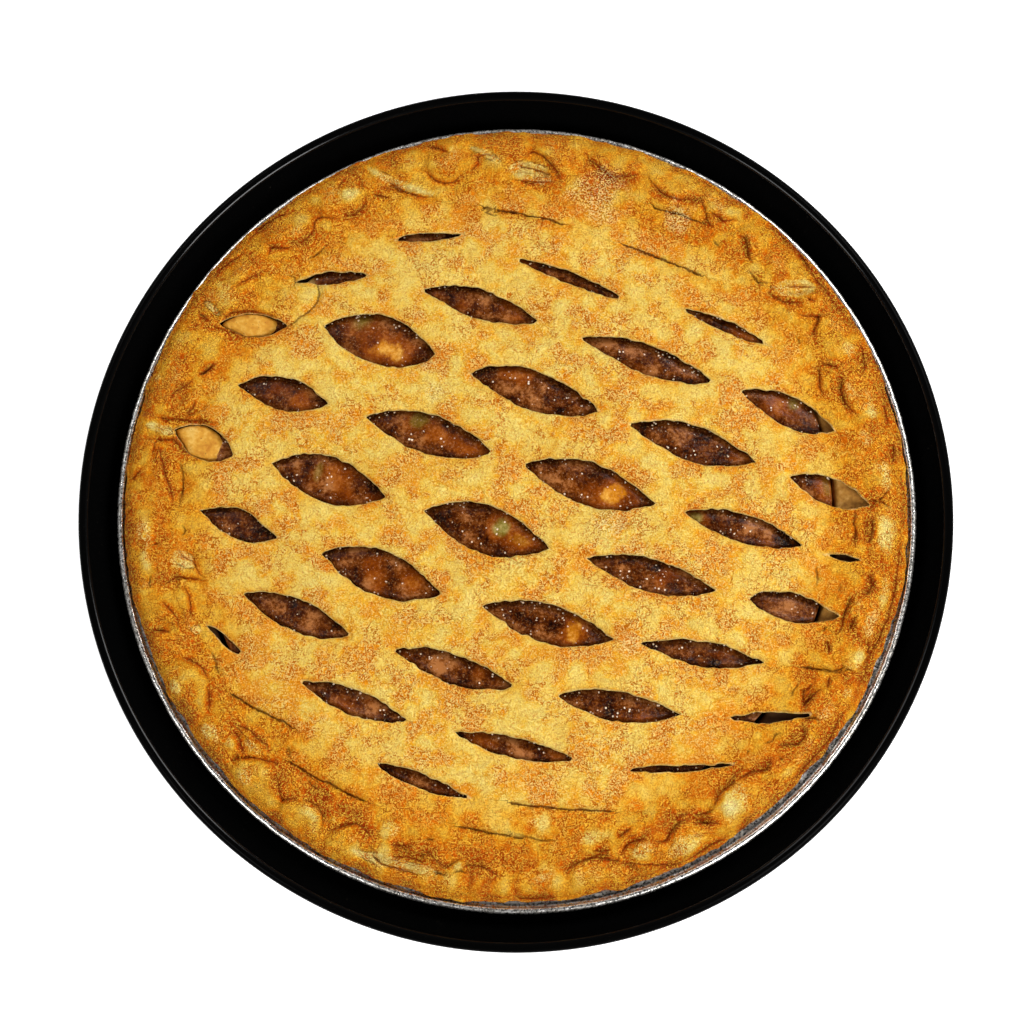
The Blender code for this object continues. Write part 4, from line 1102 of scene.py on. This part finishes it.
def makeRisen():
    # dough of the case risen into two of the cuts: a pillow just inside each outline, flat beneath
    points, faces = [], []
    for (row, column), gap in risen["cuts"]:
        cut = next(cut for cut in cuts if cut["name"] == (row, column))
        x, y = cut["x"] + cut["right"], cut["y"] + cut["back"]
        turn = np.linspace(0, whole, risen["rays"], endpoint=False)
        near, far = np.zeros(len(turn)), np.full(len(turn), risen["reach"])
        for _ in range(risen["halvings"]):
            reach = (near + far) / 2
            inside = openSpace(x + reach * np.cos(turn), y + reach * np.sin(turn)) < risen["within"]
            near, far = np.where(inside, reach, near), np.where(inside, far, reach)
        right = np.maximum(near * np.cos(turn + 0.3), 0) / (near * np.cos(turn + 0.3)).max()
        uneven = 0.97 + 0.03 * swell(30 * np.cos(turn), 30 * np.sin(turn), 9, 96)
        near = near * (1 - gap * right ** 3) * uneven
        part = np.linspace(0, 1, risen["rings"] + 1)[1:, None] ** 0.7
        px, py = x + part * near * np.cos(turn), y + part * near * np.sin(turn)
        height = risen["low"] + (risen["top"] - risen["low"]) * (1 - part ** 7) ** 0.5
        height = height + 0.5 * layered(px, py, 3.5, 97, 4) * (1 - part ** 4) - 0.8 * right * part
        start = sum(len(p) for p in points)
        body = np.stack([px.ravel(), py.ravel(), height.ravel()], 1)
        points.append(np.concatenate([body, [[x, y, risen["top"]], [x, y, risen["low"]]]]))
        grid = turnedFaces(risen["rings"], risen["rays"])
        faces += [[start + index for index in face] for face in grid]
    material = pastryMaterial("risenPastry", ((176, 104, 16), (208, 148, 44), (236, 194, 100)))
    makePiece("risenDough", np.concatenate(points), faces, material)


makeRisen()

tin = {
    "steps": 1000, "sheet": 0.22, "crinkle": 0.28, "floor": 6.6,
    # the bead's centre and radius, and where the groove inside it runs, painted dark brown as a painted
    # reflection of the crust and dish
    "bead": (121.1, 35.75, 0.92), "reflectionRingAt": 119.6,
    # floor, wall and flange, as (radius, height, rounding)
    "profile": ((12, 6.6, 0), (60, 6.6, 0), (89.8, 6.6, 3), (94, 12.1, 0), (99, 18.9, 0), (104, 26.2, 0),
                (110.9, 36.1, 1.5), (114, 36.2, 0), (116.5, 36.15, 0), (118, 36.1, 0), (119.2, 36.0, 0)),
}


def foilMaterial():
    paint = Paint("foil")
    creases = paint.noise(3.2, 4, 0.7, bend=0.6)
    fine = paint.noise(0.8, 2, seed=3)
    colour = paint.mix(paint.rise(creases, 0.35, 0.65), rgb(216, 210, 200), rgb(246, 244, 240))
    # painted reflection: the groove inside the bead is mixed toward dark brown, patchy with the creases
    colour = paint.mix(paint.mark("groove") * paint.rise(creases, 0.3, 0.5), colour, rgb(52, 34, 20))
    rough = paint.rise(fine, 0.3, 0.7, 0.2, 0.42)
    normal = paint.bump(creases + 0.15 * fine, 0.2)
    return paint.finish(colour, rough, {"Metallic": 1.0}, normal)


def makeTin():
    line = np.concatenate([roundedLine(tin["profile"], 4), arcLine(*tin["bead"], 175, -170, 15)])
    turn, radius, height = carried(line, tin["steps"])
    x, y = onCircle(turn)
    fold = np.abs(layered(x, y, 2.2, 81, 2))
    wide = layered(x, y, 16, 83, 2)
    flange = smooth(radius, 110.9, 113) * (1 - smooth(radius, 118.6, 119.6))
    height = height - tin["crinkle"] * 2.2 * fold * flange
    bead = smooth(radius, 119.6, 120.6)
    height = height + (0.12 * wide - 0.1 * fold) * bead
    wall = smooth(height, 8, 14) * (1 - smooth(height, 33, 36))
    radius = radius + wall * (0.5 * np.abs(np.sin(32 * turn)) + 0.3 * fold) - 0.2 * fold * bead
    # the bead stands further out at the front right
    radius = radius + 0.6 * smooth(np.cos(turn + math.radians(30)), 0.3, 0.9) * smooth(radius, 112, 120)
    points = turnedPoints(radius, height, (tin["floor"],))
    faces = turnedFaces(len(line), tin["steps"], 1)
    # where the painted reflection falls: a band round the groove
    groove = np.append(bell(radius - tin["reflectionRingAt"], 0.5).ravel(), 0)
    item = makePiece("foilTin", points, faces, foilMaterial(), {"groove": groove})
    thick = item.modifiers.new("sheet", "SOLIDIFY")
    thick.thickness = tin["sheet"] * mm
    thick.offset = 0
    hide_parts("foil_tin")


makeTin()

dish = {
    "steps": 400, "floor": 6.0, "under": 2.4, "lip": (132.3, 36.3, 1.7), "glaze": 0.4,
    # the inside outward from the floor, the outside inward over the foot, as (radius, height, rounding)
    "inside": ((12, 6, 0), (60, 6, 0), (94.5, 6.0, 11), (112, 20.7, 0), (130.6, 36.3, 0)),
    "outside": ((133.0, 34.6, 0), (98.6, 2.4, 3), (90, 2.4, 1), (90, 0, 0.8), (84, 0, 0.8), (84, 2.4, 1),
                (12, 2.4, 0)),
}


def glazeMaterial():
    paint = Paint("blackGlaze")
    smear = paint.noise(24, 4, 0.6)
    dust = paint.rise(paint.noise(0.7, 1, seed=6), 0.72, 0.8) * paint.rise(smear, 0.5, 0.7)
    colour = paint.mix(dust * 0.3, rgb(4, 4, 4), rgb(90, 84, 74))
    rough = paint.rise(smear, 0.3, 0.8, 0.14, 0.3)
    return paint.finish(colour, rough, {
        "Specular IOR Level": 0.015, "Coat Weight": paint.mark("glazed"), "Coat Roughness": 0.12})


def makeDish():
    line = np.concatenate([roundedLine(dish["inside"], 9)[:-1], arcLine(*dish["lip"], 178, -30, 16),
                           roundedLine(dish["outside"], 5)[1:]])
    turn, radius, height = carried(line, dish["steps"])
    points = turnedPoints(radius, height, (dish["floor"], dish["under"]))
    # the glaze thins out over the lip to a duller outside
    inner = np.arange(len(line))[:, None] + 0 * turn < len(line) * 0.45
    glazed = np.concatenate([(inner * (1 - smooth(radius, 131.0, 132.4))).ravel(), [1, 0]])
    faces = turnedFaces(len(line), dish["steps"])
    marks = {"glazed": glazed * dish["glaze"]}
    item = makePiece("pieDish", points, faces, glazeMaterial(), marks)
    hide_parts("pie_dish")


makeDish()

studio = {
    # half the floor's width in m, and the sky's brightness by height
    "floor": 3.0, "sky": ((0.0, 0.5), (0.12, 0.4), (0.35, 0.12), (1.0, 0.04)),
    # the camera: its distance and the place it looks at in m, and how steeply it looks down
    "distance": 1.5, "elevation": 79.7, "target": (-0.0012, 0.00106, 0.0363), "lens": 172.17, "sensor": 36.0,
    # where each soft light stands, its width and its power in watts
    "lights": (((1.1, -1.0, 1.25), 0.7, 26), ((-1.1, -0.9, 1.25), 0.7, 12),
               ((1.1, 1.0, 1.2), 0.8, 21), ((-1.0, 1.1, 1.3), 0.8, 9)),
}


def makeStudio():
    scene = bpy.context.scene
    side = studio["floor"]
    paint = Paint("paleFloor")
    tone = paint.noise(400, 2)
    finish = paint.finish(paint.mix(tone, rgb(246, 246, 246), rgb(250, 250, 250)), 0.9,
                          {"Emission Color": (1, 1, 1, 1), "Emission Strength": 0.7})
    mesh = bpy.data.meshes.new("floor")
    corners = [(-side, -side, 0), (side, -side, 0), (side, side, 0), (-side, side, 0)]
    mesh.from_pydata(corners, [], [(0, 1, 2, 3)])
    mesh.materials.append(finish)
    floor = bpy.data.objects.new("floor", mesh)
    scene.collection.objects.link(floor)
    for index, (place, width, power) in enumerate(studio["lights"]):
        light = bpy.data.lights.new(f"soft{index}", "AREA")
        light.shape, light.size, light.energy = "SQUARE", width, power
        lamp = bpy.data.objects.new(light.name, light)
        lamp.location = place
        lamp.rotation_euler = (-Vector(place)).to_track_quat("-Z", "Y").to_euler()
        scene.collection.objects.link(lamp)
    world = bpy.data.worlds.new("studio")
    world.use_nodes = True
    nodes, links = world.node_tree.nodes, world.node_tree.links
    # the sky is bright near the level of the floor and nearly dark overhead
    ways, height, shade = [nodes.new(kind) for kind in
                           ("ShaderNodeTexCoord", "ShaderNodeSeparateXYZ", "ShaderNodeValToRGB")]
    stops = shade.color_ramp.elements
    while len(stops) < len(studio["sky"]):
        stops.new(0.5)
    for stop, (at, bright) in zip(stops, studio["sky"]):
        stop.position, stop.color = at, (bright, bright, bright, 1)
    links.new(ways.outputs["Generated"], height.inputs[0])
    links.new(height.outputs["Z"], shade.inputs[0])
    links.new(shade.outputs["Color"], nodes["Background"].inputs["Color"])
    scene.world = world
    scene.view_settings.view_transform = "Standard"
    camera = bpy.data.cameras.new("camera")
    camera.lens, camera.sensor_width = studio["lens"], studio["sensor"]
    eye = bpy.data.objects.new("camera", camera)
    tilt = math.radians(studio["elevation"])
    look = Vector((0, math.cos(tilt), -math.sin(tilt)))
    eye.location = Vector(studio["target"]) - look * studio["distance"]
    eye.rotation_euler = look.to_track_quat("-Z", "Y").to_euler()
    scene.collection.objects.link(eye)
    scene.camera = eye


makeStudio()
